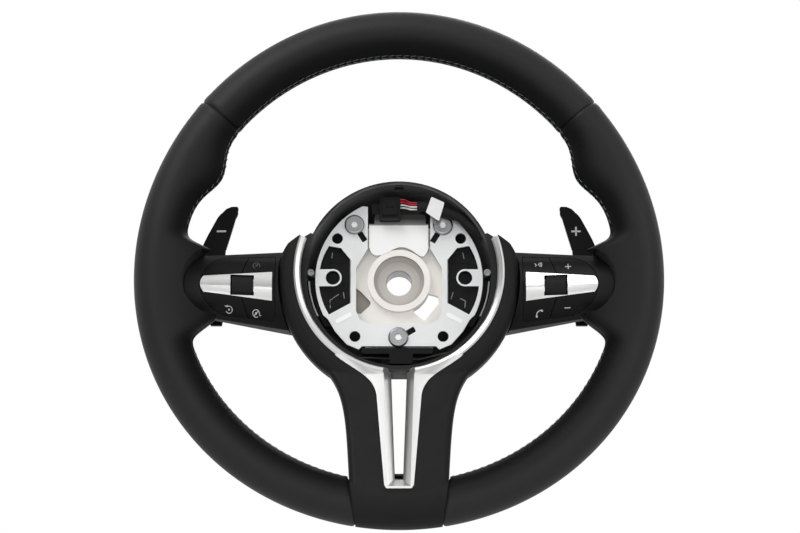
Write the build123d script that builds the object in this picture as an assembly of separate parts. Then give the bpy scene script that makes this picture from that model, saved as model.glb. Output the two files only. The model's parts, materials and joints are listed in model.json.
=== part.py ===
from build123d import *
from math import atan, cos, degrees, exp, radians, sin, tanh
import os

os.makedirs("parts", exist_ok=True)

# Leather sport steering wheel with the airbag taken out.
# Millimetres. +X right, +Z up, +Y from the driver to the column, origin in the column bore.
# Depths (d) are counted from the rim's middle plane towards the column.
rim_depth = 63.0

# Rim: outer radius and width follow the angle, with thumb grips and webs into the side spokes.
rim_radius = 189.2
rim_drop = 1.75
rim_lobe = 1.65
rim_half_depth = 15.5
rim_half_width = 17.2
rim_width = 34.1
grip_angle = 26.8
grip_swell = 9.9
grip_spread = 7.0
web_top = 6.3
web_bottom = -18.0
web_reach = 23.6
web_blend = 1.6
leather = 1.4
seam_angle = 40.5
foot_angle = -80.5
ring_radius = 172.0
ring_wire = 6.0

# Hub
bore_radius = 9.15
casting_bore = 9.6
recess_radius = 18.5
boss_radius = 23.0
bush_radius = 15.0
floor_depth = 53.0
floor_thick = 5.0
plate_depth = 44.0
plate_thick = 2.5
bolt_spots = [(-32.5, 40.5), (32.0, 40.0), (-0.5, -43.2)]
keyholes = [(-26.9, 32.2, 32), (26.4, 31.3, -32), (8.0, -38.6, -60)]
flange_radius = 6.8
bolt_head_radius = 7.3
bolt_shank_radius = 4.0
pin_spot = (48.2, 1.4)
pin_hole_radius = 5.2
screw_spot = (64.2, 3.5)

# Spoke arms of the casting: front face depth and slope along the spoke
arm_depth = 9.0
arm_slope = 0.45
arm_reach = 153.0
arm_thick = 6.0
spoke_drop = -11.5

# Spoke cover and silver trim
cover_wall = 2.4
cover_radius = 86.5
cover_drop = -5.0
bay_radius = 76.1
trim_radius = 76.0
trim_inner = 71.0
ramp_top = -76.0
ramp_depth = 13.0
ramp_slope = 0.3036
trim_proud = 0.8

# Through slot of the lower spoke, and the funnel of the trim in front of it
slot_top = -71.3
slot_bottom = -149.5
slot_wide = 5.7
slot_narrow = 3.0
funnel_width = 5.4
funnel_deep = 8.0
funnel_front = -160.0
funnel_back = -153.7
funnel_wall = 1.4

# Switch blocks
ridge_depth = 2.5
ridge_reach = 150.0
ridge_slope = 0.17
crown_radius = 30.0
crown_half = 21.0
key_gap = 0.3

# Paddles
paddle_depth = 41.0
paddle_thick = 3.4
hinge_reach = 99.0
hinge_depth = 50.0


def y_at(d):
    return d - rim_depth


def front_plane(d):
    return Plane(origin=(0, y_at(d), 0), x_dir=(1, 0, 0), z_dir=(0, -1, 0))


def slab(sketch, d_front, d_back):
    return extrude(front_plane(d_back) * sketch, amount=d_back - d_front)


def outline(points, radius=0.0):
    if radius:
        return make_face(FilletPolyline(points, radius=radius, close=True))
    return make_face(Polyline(points, close=True))


def disc(x, z, radius, d_front, d_back):
    return slab(Pos(x, z) * Circle(radius), d_front, d_back)


def turned(points):
    return revolve(make_face(Polyline([(r, y_at(d)) for r, d in points], close=True)), Axis.Y)


def top_view(points, z_low, z_high):
    face = Plane.XY.offset(z_low) * make_face(Polyline([(x, y_at(d)) for x, d in points], close=True))
    return extrude(face, amount=z_high - z_low)


def side_view(points, x_low, x_high):
    face = Plane.YZ.offset(x_low) * make_face(Polyline([(y_at(d), z) for d, z in points], close=True))
    return extrude(face, amount=x_high - x_low)


def cord(points, radii, wire_radius):
    path = FilletPolyline([(x, y_at(d), z) for x, z, d in points], radius=radii)
    section = Plane(origin=path @ 0, z_dir=path % 0) * Circle(wire_radius)
    return sweep(section, path=path)


def left_of(shape):
    return mirror(shape, Plane.YZ)


def arm_face(x):
    return arm_depth + arm_slope * (arm_reach - x)


def ridge(x):
    return ridge_depth + ridge_slope * (ridge_reach - x)


def ramp(z):
    return ramp_depth - ramp_slope * (ramp_top - z)


# Rim
def rim_outer(angle):
    a = radians(angle)
    return rim_radius - rim_drop * sin(a) - rim_lobe * sin(3 * a)


def rim_span(angle):
    a = angle if angle > -90 else -180 - angle
    a = 180 - a if a > 90 else a
    grip = grip_swell * exp(-((a - grip_angle) / grip_spread) ** 2)
    web = (1 + tanh((web_top - a) / web_blend)) * (1 + tanh((a - web_bottom) / web_blend)) / 4
    return rim_width + 0.6 * sin(radians(a)) + grip + web_reach * web


def rim_section(angle, inset):
    c, s = cos(radians(angle)), sin(radians(angle))
    plane = Plane(origin=(0, y_at(0), 0), x_dir=(c, 0, s), z_dir=(-s, 0, c))
    mid = rim_outer(angle) - rim_half_width
    depth = rim_half_depth - inset
    nose = rim_half_width - inset
    tail = rim_span(angle) - rim_half_width - inset
    diag = 0.5 ** 0.5
    ring = Spline(
        (mid + nose, 0), (mid + nose * diag, depth * diag), (mid, depth),
        (mid - tail * diag, depth * diag), (mid - tail, 0),
        (mid - tail * diag, -depth * diag), (mid, -depth),
        (mid + nose * diag, -depth * diag),
        periodic=True,
    )
    return plane * make_face(ring)


def rim_arc(first, last, steps, inset):
    return loft([rim_section(first + (last - first) * i / steps, inset) for i in range(steps + 1)])


seat_points = [(-35.7, -140), (35.7, -140), (35.7, -149.5), (30.6, -187), (29.8, -200), (-29.8, -200),
               (-30.6, -187), (-35.7, -149.5)]
foot_zone = slab(outline(seat_points), -30, 40)

bezel_face = make_face(
    [Polyline((139.5, 22.5 + spoke_drop), (62.0, 31.0 + spoke_drop), (62.0, -31.0 + spoke_drop),
              (139.5, -22.5 + spoke_drop)),
     ThreePointArc((139.5, -22.5 + spoke_drop), (153.7, spoke_drop), (139.5, 22.5 + spoke_drop))])
notch = slab(offset(bezel_face, amount=key_gap), -30, 40)

rim_ring = revolve(Pos(ring_radius, y_at(0)) * Circle(ring_wire), Axis.Y)

arm_points = [(44, 12), (70, 6), (110, -2), (140, spoke_drop + 6.5), (169.5, spoke_drop + 6.5),
              (169.5, spoke_drop - 6.5), (140, spoke_drop - 6.5), (110, -21), (70, -27), (44, -30)]
arm_side = [(44, arm_face(44)), (155, arm_face(155)), (169.5, 0.5), (169.5, 4.5), (155, 12.0),
            (140, arm_face(140) + arm_thick), (44, arm_face(44) + arm_thick)]
side_arm = slab(outline(arm_points), -10, 90) & top_view(arm_side, -60, 60)

lower_arm_points = [(12, -38), (24, -38), (27, -100), (24, -168), (13, -168), (14, -100)]
lower_arm_side = [(53, -38), (53, -58), (2, -160), (-1, -168), (3, -168), (8, -158), (58, -60), (58, -38)]
lower_arm = slab(outline(lower_arm_points), -10, 90) & side_view(lower_arm_side, -60, 60)
arms = side_arm + left_of(side_arm) + lower_arm + left_of(lower_arm)

grip_end = 13.5
web_end = -25.5


def rim_side(inset):
    return (rim_arc(seam_angle, grip_end, 9, inset) + rim_arc(grip_end, web_end, 26, inset)
            + rim_arc(web_end, foot_angle, 6, inset))


right_outer = rim_side(0)
right_inner = rim_side(leather)
leather_right = right_outer - right_inner - notch - foot_zone
leather_left = left_of(leather_right)
bow_inner = rim_arc(180 - seam_angle, seam_angle, 10, leather)
leather_top = rim_arc(180 - seam_angle, seam_angle, 10, 0) - bow_inner

foot_inner = rim_arc(-66, -114, 8, leather + 1.0)
side_foam = right_inner - notch - foot_zone
rim_foam = bow_inner + side_foam + left_of(side_foam) + (foot_inner & foot_zone)
rim_foam = rim_foam - rim_ring - arms

# Hub casting
pad = make_face([
    Polyline((21.4, 23.7), (21.4, 42.3), (-22, 42.3), (-22, 25)),
    Spline((-22, 25), (-16.5, 18.8), (-9.1, 20.6), (0.5, 24.9), (9.4, 22.5), (16.2, 18.1), (21.4, 23.7)),
])
ledge = outline([(-18, 41), (19.5, 41), (19.5, 49.6), (-18, 49.6)], 2.5)
casting = slab(Circle(46), floor_depth, floor_depth + floor_thick)
casting += disc(0, 0, boss_radius, 47.5, 62)
casting += slab(pad, 47, floor_depth + 1)
casting += slab(ledge, 47.4, floor_depth + 1)
casting += slab(outline([(-16, -40), (16, -40), (16, -55), (-16, -55)], 3), 54, 58)
for x, z in bolt_spots:
    casting += disc(x, z, 7.5, 52, floor_depth + floor_thick)
for side in (-1, 1):
    casting += slab(Pos(side * 33.2, -11) * Rectangle(3.2, 38), 48.8, floor_depth + 1)
casting += slab(Pos(0, -34.2) * Rectangle(52, 2.8), 49.3, floor_depth + 1)
casting = casting + arms
well = turned([(0, 40), (recess_radius, 40), (recess_radius, 53), (15.5, 56), (0, 56)])
slot_points = [(21.0, -8.6), (28.6, -10.6), (29.4, -15.5), (18.6, -29.0), (9.9, -22.2)]
boss_wall = disc(0, 0, boss_radius, 40, 90)
casting = casting - well - (slab(outline(slot_points, 1.2), 40, 80) - boss_wall)
casting = casting - (slab(outline([(-30.6, -5), (-21, -16), (-29.5, -25.5)], 1.2), 40, 56.5) - boss_wall)
for angle in (90, 210, 330):
    x, z = 42 * cos(radians(angle)), 42 * sin(radians(angle))
    casting += disc(x, z, 4.5, floor_depth + 2, 74.6)
casting = casting - disc(0, 0, bush_radius, 58, 90) - disc(0, 0, casting_bore, 40, 90)
hub_casting = casting - rim_ring

spline_bush = disc(0, 0, bush_radius, 58, 82) - disc(0, 0, bore_radius, 40, 90)
spline_bush = spline_bush - turned([(bore_radius, 68), (10.1, 69), (10.1, 83), (0, 83), (0, 68)])

# Horn plate and its bolts
plate_half = make_face([
    Polyline((0, -33), (22, -33), (28.6, -29.6), (31.3, -23), (31.3, 8.5), (22.8, 23.2), (22.8, 54.5),
             (26.5, 54.95)),
    ThreePointArc((26.5, 54.95), (61, 0), (55, -26.4)),
    Polyline((55, -26.4), (51.4, -29.7), (46.5, -38.3), (37.9, -48.1), (29.2, -51.8), (26.8, -49.4),
             (0, -49.4), (0, -33)),
])
window = make_face([
    Polyline((50.9, -26), (35.2, -17.4), (35.2, 14.6), (42.4, 23.6), (51.2, 25.2)),
    ThreePointArc((51.2, 25.2), (58.4, 0), (50.9, -26)),
])
tab = Pos(54.8, pin_spot[1]) * Rectangle(10.8, 12.6) + Pos(*pin_spot) * Circle(pin_hole_radius + 1.2)
plate_half = plate_half - (window - tab) - Pos(*pin_spot) * Circle(pin_hole_radius)
plate_half = plate_half - Pos(45, 30.7) * Circle(4) - Pos(32, -42.2) * Circle(4)
plate_face = plate_half + mirror(plate_half, Plane.YZ)
for x, z in bolt_spots:
    plate_face = plate_face - Pos(x, z) * Circle(5.4)
for x, z, turn in keyholes:
    plate_face = plate_face - Pos(x, z) * (Rot(0, 0, turn) * RectangleRounded(4.2, 8, 0.7))
horn_plate = slab(plate_face, plate_depth, plate_depth + plate_thick)
bead = slab(Pos(40.2, -28.6) * (Rot(0, 0, -28.7) * SlotOverall(13, 3.2)), plate_depth - 0.6, plate_depth + 0.5)
horn_plate += bead + left_of(bead)

horn_bolts = []
horn_bushes = []
horn_springs = []
for (x, z), (key_x, key_z, turn) in zip(bolt_spots, keyholes):
    bolt = disc(x, z, bolt_head_radius, plate_depth - 4.2, plate_depth - 0.2)
    bolt = fillet(bolt.faces().sort_by(Axis.Y)[0].edges(), 1.6)
    bolt = bolt - slab(Pos(x, z) * RegularPolygon(2.6, 6), plate_depth - 5, plate_depth - 2.2)
    bolt += disc(x, z, bolt_shank_radius, plate_depth - 0.5, 52)
    horn_bolts.append(bolt)
    bush = disc(x, z, 5.4, plate_depth, plate_depth + plate_thick)
    tongue = Pos(key_x, key_z) * (Rot(0, 0, turn) * RectangleRounded(4.8, 8.8, 1.0))
    bush += slab(Pos(x, z) * Circle(flange_radius) + tongue, plate_depth + plate_thick,
                 plate_depth + plate_thick + 1.0)
    horn_bushes.append(bush - disc(x, z, bolt_shank_radius + 0.3, 30, 60))
    coil = Helix(pitch=1.7, height=3.3, radius=5.6)
    wire = sweep(Plane(origin=coil @ 0, z_dir=coil % 0) * Circle(0.45), path=coil, is_frenet=True)
    horn_springs.append(Pos(x, y_at(51.45), z) * (Rot(90, 0, 0) * wire))
horn_bolts = Compound(horn_bolts)
horn_bushes = Compound(horn_bushes)
horn_springs = Compound(horn_springs)

# Rear cover
bowl_inside = [(67, 34), (64.8, 51.2), (59.2, 66.9), (52.4, 73.2)]
bowl = turned([(36, 74.8), (36, 77.2), (53.5, 75.6), (61.5, 68), (67.4, 51), (69.5, 34), (69.5, 27), (67, 27)] + bowl_inside)
bowl_room = turned([(0, 20), (67, 20)] + bowl_inside + [(0, 74.8)])
cover_ring = Pos(0, cover_drop) * Circle(cover_radius) - Circle(67)
tip_side = [(64, 31), (73, 25.4), (80, 20.4), (84.6, 13.4), (110, -20), (110, -110)]
tip_points = [(0, 0)] + tip_side + [(-x, z) for x, z in reversed(tip_side)]
flange = slab(cover_ring & outline(tip_points), 27, 29.4)

trough_face = offset(bezel_face, amount=-0.6)
trough_hollow = offset(bezel_face, amount=-3.0)
arm_zone = [(60, arm_face(60)), (156, arm_face(156)), (156, arm_face(156) + 8.6), (60, arm_face(60) + 8.6)]
hollow_zone = [(60, arm_face(60) - 1), (156, arm_face(156) - 1), (156, arm_face(156) + 6.4), (60, arm_face(60) + 6.4)]
trough = slab(trough_face, -10, 90) & top_view(arm_zone, -60, 60)
trough = trough - (slab(trough_hollow, -10, 90) & top_view(hollow_zone, -60, 60)) - bowl_room


def lower_half(z):
    u = (z + 66) / 15
    return 35.3 + 0.05 * (z + 152) + 21 * exp(u) / (1 + exp(4 * (u - 0.2)))


def back_draft(z):
    return 1.5 + 10 * exp((z + 66) / 30)


def lower_section(z, inset, d_near, d_far, corner, draft=0.0):
    half = lower_half(z) - inset
    plane = Plane(origin=(0, 0, z), x_dir=(1, 0, 0), z_dir=(0, 0, 1))
    path = FilletPolyline((-half, y_at(d_far)), (draft - half, y_at(d_near)), (half - draft, y_at(d_near)),
                          (half, y_at(d_far)), radius=[0, corner, corner, 0], close=True)
    return plane * make_face(path)


def back_depth(z):
    return 13.7 + 0.48 * (z + 164)


lower_stations = [-66 - 98 * i / 9 for i in range(10)]
lower_zone = slab(outline([(-90, -40), (90, -40), (90, -145), (35.7, -149.5), (30.6, -187), (-30.6, -187),
                           (-35.7, -149.5), (-90, -145)]), -40, 90)
rear_stations = [-46 - 118 * i / 11 for i in range(12)]
lower_back = loft([lower_section(z, 0, back_depth(z), min(ramp(z) + 13, 26), 9, back_draft(z))
                   for z in rear_stations])
lower_hollow = loft([lower_section(z, cover_wall, back_depth(z) - cover_wall, min(ramp(z) + 12, 25), 7, back_draft(z))
                     for z in rear_stations])
lower_back = (lower_back & lower_zone) - lower_hollow - bowl_room


def slot_half(z):
    return slot_narrow + (slot_wide - slot_narrow) * (z - slot_bottom) / (slot_top - slot_bottom)


def slot_outline(grow, top, bottom):
    wide, narrow = slot_half(top) + grow, slot_half(bottom) + grow
    return outline([(-wide, top), (wide, top), (narrow, bottom), (-narrow, bottom)])


rear_slot = slot_outline(0.3, slot_top, slot_bottom)
slot_liner = slab(slot_outline(1.9, slot_top + 1.6, slot_bottom - 1.6) - rear_slot, 0, 90) & side_view(
    [(ramp(-60) + 9, -60), (ramp(-158) + 9, -158), (back_depth(-158) - 0.6, -158), (back_depth(-60) - 0.6, -60)],
    -20, 20)
foot_shell = rim_arc(-66, -114, 8, 0) & foot_zone
foot_shell = foot_shell - foot_inner
front_side = side_view([(-60, 60), (ramp_depth + 14, 60), (ramp_depth + 14, ramp_top), (ramp(-164) + 14, -164),
                        (ramp(-164) + 14, -200), (-60, -200)], -100, 100)

rear_cover = bowl + flange + trough + left_of(trough) + ((lower_back + foot_shell) - front_side)
rear_cover = rear_cover + slot_liner - slab(rear_slot, -30, 90)
for side in (-1, 1):
    rear_cover += disc(side * screw_spot[0], screw_spot[1], 3.0, 38, 47)
    rear_cover -= disc(side * screw_spot[0], screw_spot[1], 2.6, 30, 38)
passage = slab(offset(outline(arm_points), amount=0.4), -10, 90) & top_view(
    [(x, d + (0.4 if i > 2 else -0.4)) for i, (x, d) in enumerate(arm_side)], -60, 60)
lower_passage = slab(offset(outline(lower_arm_points), amount=0.4), -10, 90) & side_view(
    [(52.6, -38), (52.6, -58), (1.6, -160), (-1.4, -169), (3.6, -169), (8.4, -158), (58.4, -60), (58.4, -38)],
    -60, 60)
rear_cover = rear_cover - passage - left_of(passage) - lower_passage - left_of(lower_passage)
rear_cover = rear_cover - foot_inner - slab(Pos(0, 66) * Rectangle(6.4, 4.6), 28, 33)
for angle in (90, 210, 330):
    x, z = 42 * cos(radians(angle)), 42 * sin(radians(angle))
    rear_cover -= disc(x, z, 2.2, 60, 90)
    rear_cover -= disc(x, z, 5.0, 60, 74.6)

rear_cover_screws = []
for angle in (90, 210, 330):
    x, z = 42 * cos(radians(angle)), 42 * sin(radians(angle))
    screw = disc(x, z, 4.0, 77.2, 79.6) + disc(x, z, 2.0, 74.6, 77.4)
    rear_cover_screws.append(screw)
rear_cover_screws = Compound(rear_cover_screws)

# Spoke cover
collar_axis = Axis((0, 0, cover_drop), (0, 1, 0))


def collar(points):
    return revolve(make_face(Polyline([(r, y_at(d)) for r, d in points], close=True)).moved(Pos(0, 0, cover_drop)),
                   collar_axis)


lower_outer = loft([lower_section(z, 0, ramp(z), ramp(z) + 14, 5.0) for z in lower_stations]) & lower_zone
lower_inner = loft([lower_section(z, cover_wall, ramp(z) + cover_wall, 45, 3.0) for z in lower_stations])
collar_outer = collar([(64, 13.4), (78, 12.6), (82, 13.4), (85, 15.4), (cover_radius, 18.5), (cover_radius, 27),
                       (64, 27)])
collar_inner = collar([(79, 15.4), (82, 16.2), (83.4, 17.4), (84.1, 19.5), (84.1, 28), (79, 28)])
collar_outer = collar_outer & slab(outline(tip_points), -30, 60)
collar_inner = collar_inner & slab(offset(outline(tip_points), amount=-cover_wall), -30, 60)
bay = disc(0, 0, bay_radius, -30, 60)
spoke_cover = (collar_outer + lower_outer + foot_shell) & front_side
spoke_cover = spoke_cover - bay - (collar_inner - disc(0, 0, 79, -30, 60))
spoke_cover = spoke_cover - (lower_inner - disc(0, 0, 79, -30, 60)) - foot_inner

# Silver trim: crescent and V
ramp_turn = atan(ramp_slope)
ramp_plane = Plane(origin=(0, y_at(ramp_depth - trim_proud), ramp_top), x_dir=(1, 0, 0),
                   z_dir=(0, -cos(ramp_turn), sin(ramp_turn)))


def funnel_face(deep, grow):
    extra = funnel_width * (1 - deep / funnel_deep) + grow
    bottom = funnel_front + (funnel_back - funnel_front) * deep / funnel_deep - grow
    corners = []
    for z in (-58, bottom):
        corners.append((slot_half(z) + extra, (z - ramp_top + deep * sin(ramp_turn)) / cos(ramp_turn)))
    (wide, top), (narrow, low) = corners
    return ramp_plane.offset(-deep) * outline([(-wide, top), (wide, top), (narrow, low), (-narrow, low)])


def funnel(near, far, grow):
    return loft([funnel_face(near, grow), funnel_face(far, grow)], ruled=True)


flare = [(46, -61.5), (34.2, -70.1), (26.9, -75.0), (20.5, -81.0), (16.9, -87.8), (15.8, -94)]


def vee_outline(grow):
    side = [(x + grow, z) for x, z in flare]
    foot = [side[-1], (10.4 + grow, -159.4), (8.6 + grow, -161.8 - grow)]
    far = [(-x, z) for x, z in side]
    return make_face([
        Spline(side),
        Polyline(foot + [(-x, z) for x, z in reversed(foot)]),
        Spline(list(reversed(far))),
        Line(far[0], side[0]),
    ])


vee_line = [(ramp_depth, -55), (ramp_depth, ramp_top), (ramp(-164), -164)]


def vee_band(front, back):
    return side_view([(d - front, z) for d, z in vee_line] + [(d + back, z) for d, z in reversed(vee_line)], -60, 60)


vee = slab(vee_outline(0), -40, 60) & vee_band(trim_proud, 1.4)
vee_seat = slab(vee_outline(0.15), -40, 60) & vee_band(9, 1.4)
crescent_ring = turned([(trim_inner, 16.0), (trim_inner + 0.9, 13.6), (trim_inner + 3.6, 12.2), (trim_radius, 13.0),
                        (trim_radius, 19), (trim_inner, 19)])
crescent_ring = crescent_ring & slab(outline([(0, 0), (110, 40), (110, -110), (-110, -110), (-110, 40)]), -30, 60)
spoke_cover = spoke_cover - slab(slot_outline(2.1, -60, slot_bottom - 1.8), -40, 60)
spoke_cover = spoke_cover - funnel(-12, funnel_deep + 1, funnel_wall + 0.2) - vee_seat
vee_funnel = vee + funnel(0, funnel_deep, funnel_wall)
spoke_trim = crescent_ring + (vee_funnel - disc(0, 0, trim_inner + 2.5, -30, 60)) - funnel(-3, funnel_deep + 1, 0)

# Switch blocks, built on the right
arc_drop = crown_radius - (crown_radius ** 2 - crown_half ** 2) ** 0.5
crown_fall = crown_half / (crown_radius ** 2 - crown_half ** 2) ** 0.5


def crown(lift):
    start = ridge_reach + 6
    base = ridge(start) + lift
    edge = base + arc_drop + crown_fall * (34 - crown_half)
    face = make_face([
        Polyline((y_at(base + arc_drop), crown_half), (y_at(edge), 34), (y_at(base + 70), 34), (y_at(base + 70), -34),
                 (y_at(edge), -34), (y_at(base + arc_drop), -crown_half)),
        ThreePointArc((y_at(base + arc_drop), -crown_half), (y_at(base), 0), (y_at(base + arc_drop), crown_half)),
    ])
    reach = Vector(-1, ridge_slope, 0)
    return extrude(Plane.YZ.offset(start) * (Pos(0, spoke_drop) * face), amount=86 * reach.length, dir=reach)


def before_arm(gap):
    return top_view([(60, -60), (160, -60), (160, arm_face(160) - gap), (60, arm_face(60) - gap)], -70, 70)


pocket_face = make_face([
    Polyline((121, 21.5 + spoke_drop), (89, 24.0 + spoke_drop), (89, -24.0 + spoke_drop), (121, -21.5 + spoke_drop)),
    ThreePointArc((121, -21.5 + spoke_drop), (142.5, spoke_drop), (121, 21.5 + spoke_drop)),
])
inlay_face = make_face([
    Polyline((139.8, 5.8 + spoke_drop), (91.2, 10.6 + spoke_drop), (91.2, -10.6 + spoke_drop),
             (139.8, -5.8 + spoke_drop)),
    ThreePointArc((139.8, -5.8 + spoke_drop), (142.2, spoke_drop), (139.8, 5.8 + spoke_drop)),
])
collar_clear = slab(Pos(0, cover_drop) * Circle(cover_radius + 0.5), -30, 60)
bezel = (slab(bezel_face, -20, 60) & crown(0) & before_arm(0)) - collar_clear - slab(pocket_face, -40, 80)
board_face = offset(pocket_face, amount=-0.2)
board = slab(board_face, -20, 80) & (before_arm(0) - before_arm(1.6))

barrel_spot = 113.4
barrel_radius = 7.8
barrel_half = 7.6
barrel_depth = ridge(barrel_spot) + 5.8
barrel_turn = degrees(atan(ridge_slope))
barrel_frame = Pos(barrel_spot, y_at(barrel_depth), spoke_drop) * Rot(0, 0, -barrel_turn)


def barrel_rod(radius, half):
    return barrel_frame * (Rot(0, 90, 0) * Cylinder(radius, 2 * half))


window_spot = barrel_spot - 5.8 * sin(radians(barrel_turn))
inlay_window = slab(Pos(window_spot, spoke_drop) * Rectangle(2 * barrel_half + 1.6, 14.8), -40, 80)
inlay = (slab(inlay_face, -20, 80) & (crown(-0.5) - crown(2.0))) - inlay_window
barrel_pin = barrel_rod(1.2, barrel_half + 2.0)
for side in (-1, 1):
    inlay += barrel_frame * (Pos(side * (barrel_half + 1.3), -0.6, 0) * Box(1.4, 8.4, 9.0))
for x in (94.5, 131.0):
    inlay += slab(Pos(x, spoke_drop) * Circle(2.0), ridge(x) + 1, 70) & before_arm(1.6)
inlay = inlay - barrel_pin
roller = barrel_rod(barrel_radius, barrel_half)
rocker = roller & (barrel_frame * (Pos(0, -10, 0) * Box(30, 28, 13.6)))
roller = chamfer(roller.edges().filter_by(GeomType.CIRCLE), 0.8) - barrel_rod(1.5, 20)
rocker = rocker - barrel_rod(1.5, 20)
board = board - slab(Pos(barrel_spot, spoke_drop) * Rectangle(2 * barrel_half + 5, 17.6), -40, 80)


def key(inner, lower):
    sign = -1 if lower else 1
    half_zone = Pos(115, spoke_drop + sign * 30) * Rectangle(80, 60)
    split = [(112.6, 9), (106.6, 26), (60, 26), (60, 0), (112.6, 0)] if inner else [
        (113.2, 9), (107.2, 26), (160, 26), (160, 0), (113.2, 0)]
    split_face = outline([(x, spoke_drop + sign * w) for x, w in split])
    face = offset(pocket_face, amount=-key_gap) & half_zone & split_face
    face = face - offset(inlay_face, amount=key_gap)
    return slab(face, -20, 80) & (crown(0.2) - crown(6.0)) & before_arm(3.0)


keys = {(i, l): key(i, l) for i in (True, False) for l in (True, False)}

# Paddles, built on the right
blade = make_face([
    Spline((122.4, 35.4), (118.6, 46.3), (117.8, 50.6), (119.9, 52.8), (127.2, 50.7), (131.3, 47.1), (135.1, 40.7),
           (138.9, 33.5), (143, 24.5), (145.5, 8)),
    Polyline((145.5, 8), (144, -14), (139.5, -30), (136.5, -34.8), (128.5, -34.8), (126.5, -24.0), (107, -22.5),
             (95, -22.5), (95, 6.5), (107, 6.5), (127, 12), (126.3, 21.8), (122.4, 35.4)),
])
blade_side = [(147, paddle_depth), (118, paddle_depth), (103, 46.2), (95, 47.2), (95, 52), (103, 51.2),
              (118.7, paddle_depth + paddle_thick), (147, paddle_depth + paddle_thick)]
paddle = slab(blade, 20, 80) & top_view(blade_side, -60, 70)
hinge = Pos(hinge_reach, y_at(hinge_depth), -8)
paddle += hinge * Cylinder(4.0, 29.0)
paddle -= hinge * Cylinder(1.8, 60)
paddle_pin = hinge * Cylinder(1.5, 41)
bracket_side = [(90, arm_face(90) + 8.6), (106, arm_face(106) + 8.6), (106, 46), (104, 55), (91, 55), (90, 54)]
bracket = top_view(bracket_side, -29, 13)
swing = [(90, arm_face(90) + 12.0), (112, arm_face(112) + 12.0), (112, 60), (89, 60), (89, arm_face(89) + 12.0)]
bracket = bracket - top_view(swing, -23.4, 7.4) - paddle_pin
paddle_coil = Helix(pitch=1.6, height=4.0, radius=2.1)
coil_wire = sweep(Plane(origin=paddle_coil @ 0, z_dir=paddle_coil % 0) * Circle(0.4), path=paddle_coil, is_frenet=True)
coil_spot = Pos(117, y_at(40.2), -8) * (Rot(90, 0, 0) * coil_wire)

# Strips, liners, module and loom
clip = slab(Circle(66.0) - Circle(64.8), 36, 43) & slab(outline([(40, -3), (80, -3), (80, -36), (50, -26)]), 0, 90) & bowl_room
clip_screw = disc(*screw_spot, 2.5, 35.4, 38) - slab(Pos(*screw_spot) * RegularPolygon(1.4, 6), 34, 36.6)
liner_face = make_face([
    Polyline((49.5, -30), (36.0, -22), (36.0, 17), (42.5, 27.5), (50.0, 28.5)),
    ThreePointArc((50.0, 28.5), (56.5, 0), (49.5, -30)),
])
skirt = Circle(63.4) & outline([(40, 16), (80, 16), (80, -38), (46, -33)])
hub_liner = slab(liner_face, 49.4, 51.8) + slab(skirt - Circle(53), 48.3, 48.9)
hub_liner += slab((skirt & Circle(56.2)) - Circle(53), 48.3, 50) + disc(*pin_spot, 7.5, 51.6, floor_depth)
hub_liner -= disc(*pin_spot, 6.2, 40, floor_depth - 1)
hub_liner += slab(Pos(38.6, -3) * Rectangle(4, 34), 51, floor_depth)
for z in (-20, -12, 14, 22):
    hub_liner += slab(Pos(45.5, z) * Rectangle(10, 1.2), 48.9, 50)
hub_liner = hub_liner - hub_casting

loom_bracket = slab(outline([(-20, 49.6), (16, 49.6), (16, 58), (-20, 58)], 2), 47.4, 50.4)
connector = slab(outline([(-14.2, 43.8), (1.0, 43.8), (1.0, 60.2), (-14.2, 60.2)], 1.0), 37, 47.4)
connector += slab(outline([(-12.2, 46.5), (-1.5, 46.5), (-1.5, 57.5), (-12.2, 57.5)], 0.8), 35.6, 38)
connector -= slab(Pos(-6.8, 52) * Rectangle(6, 1.4), 34, 36.4)
red_wires = Compound([
    cord([(1.0, 58.4, 37.8), (4, 58.4, 37.8), (8, 55.2, 34.6), (13.2, 55.2, 34.6)], [2.5, 2.5], 0.62),
    cord([(1.0, 56.6, 38.6), (4, 56.6, 38.6), (8, 53.6, 33.8), (13.2, 53.6, 33.8)], [2.5, 2.5], 0.62),
])
white_wires = Compound([
    cord([(1.0, 54.6, 39.4), (4, 54.6, 39.4), (8.5, 52.0, 34.4), (13.2, 52.0, 34.4)], [2.5, 2.5], 0.62),
    cord([(1.0, 52.6, 39.8), (4, 52.6, 39.8), (8.5, 50.5, 35.6), (13.2, 50.5, 35.6)], [2.5, 2.5], 0.62),
])
loom = cord([(13.2, 52.7, 35), (22, 52.7, 35), (45, 44.5, 35), (62, 29.6, 36)], [16, 14], 3.8) & bowl_room
loom_tag = slab(outline([(23.6, 58.9), (33.1, 54.5), (29.1, 40.5), (19.5, 47.2)], 0.8), 30.6, 31.0)
control_module = slab(outline([(-7, -51.0), (10, -51.0), (10, -62.5), (-7, -62.5)], 1.5), 43, 54)
control_module += slab(outline([(-27, -51.0), (24.5, -51.0), (24.5, -55.2), (-27, -55.2)], 1.5), 43, 52.8)
left_lead = cord([(-7, -58.4, 46), (-11, -58.4, 46), (-20, -58.8, 41), (-34, -59.0, 41)], [3, 4], 1.0) & bowl_room
right_lead = cord([(10, -59, 46), (15, -59, 46), (38, -54.5, 41), (58, -41, 41)], [4, 8], 1.0) & bowl_room

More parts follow.
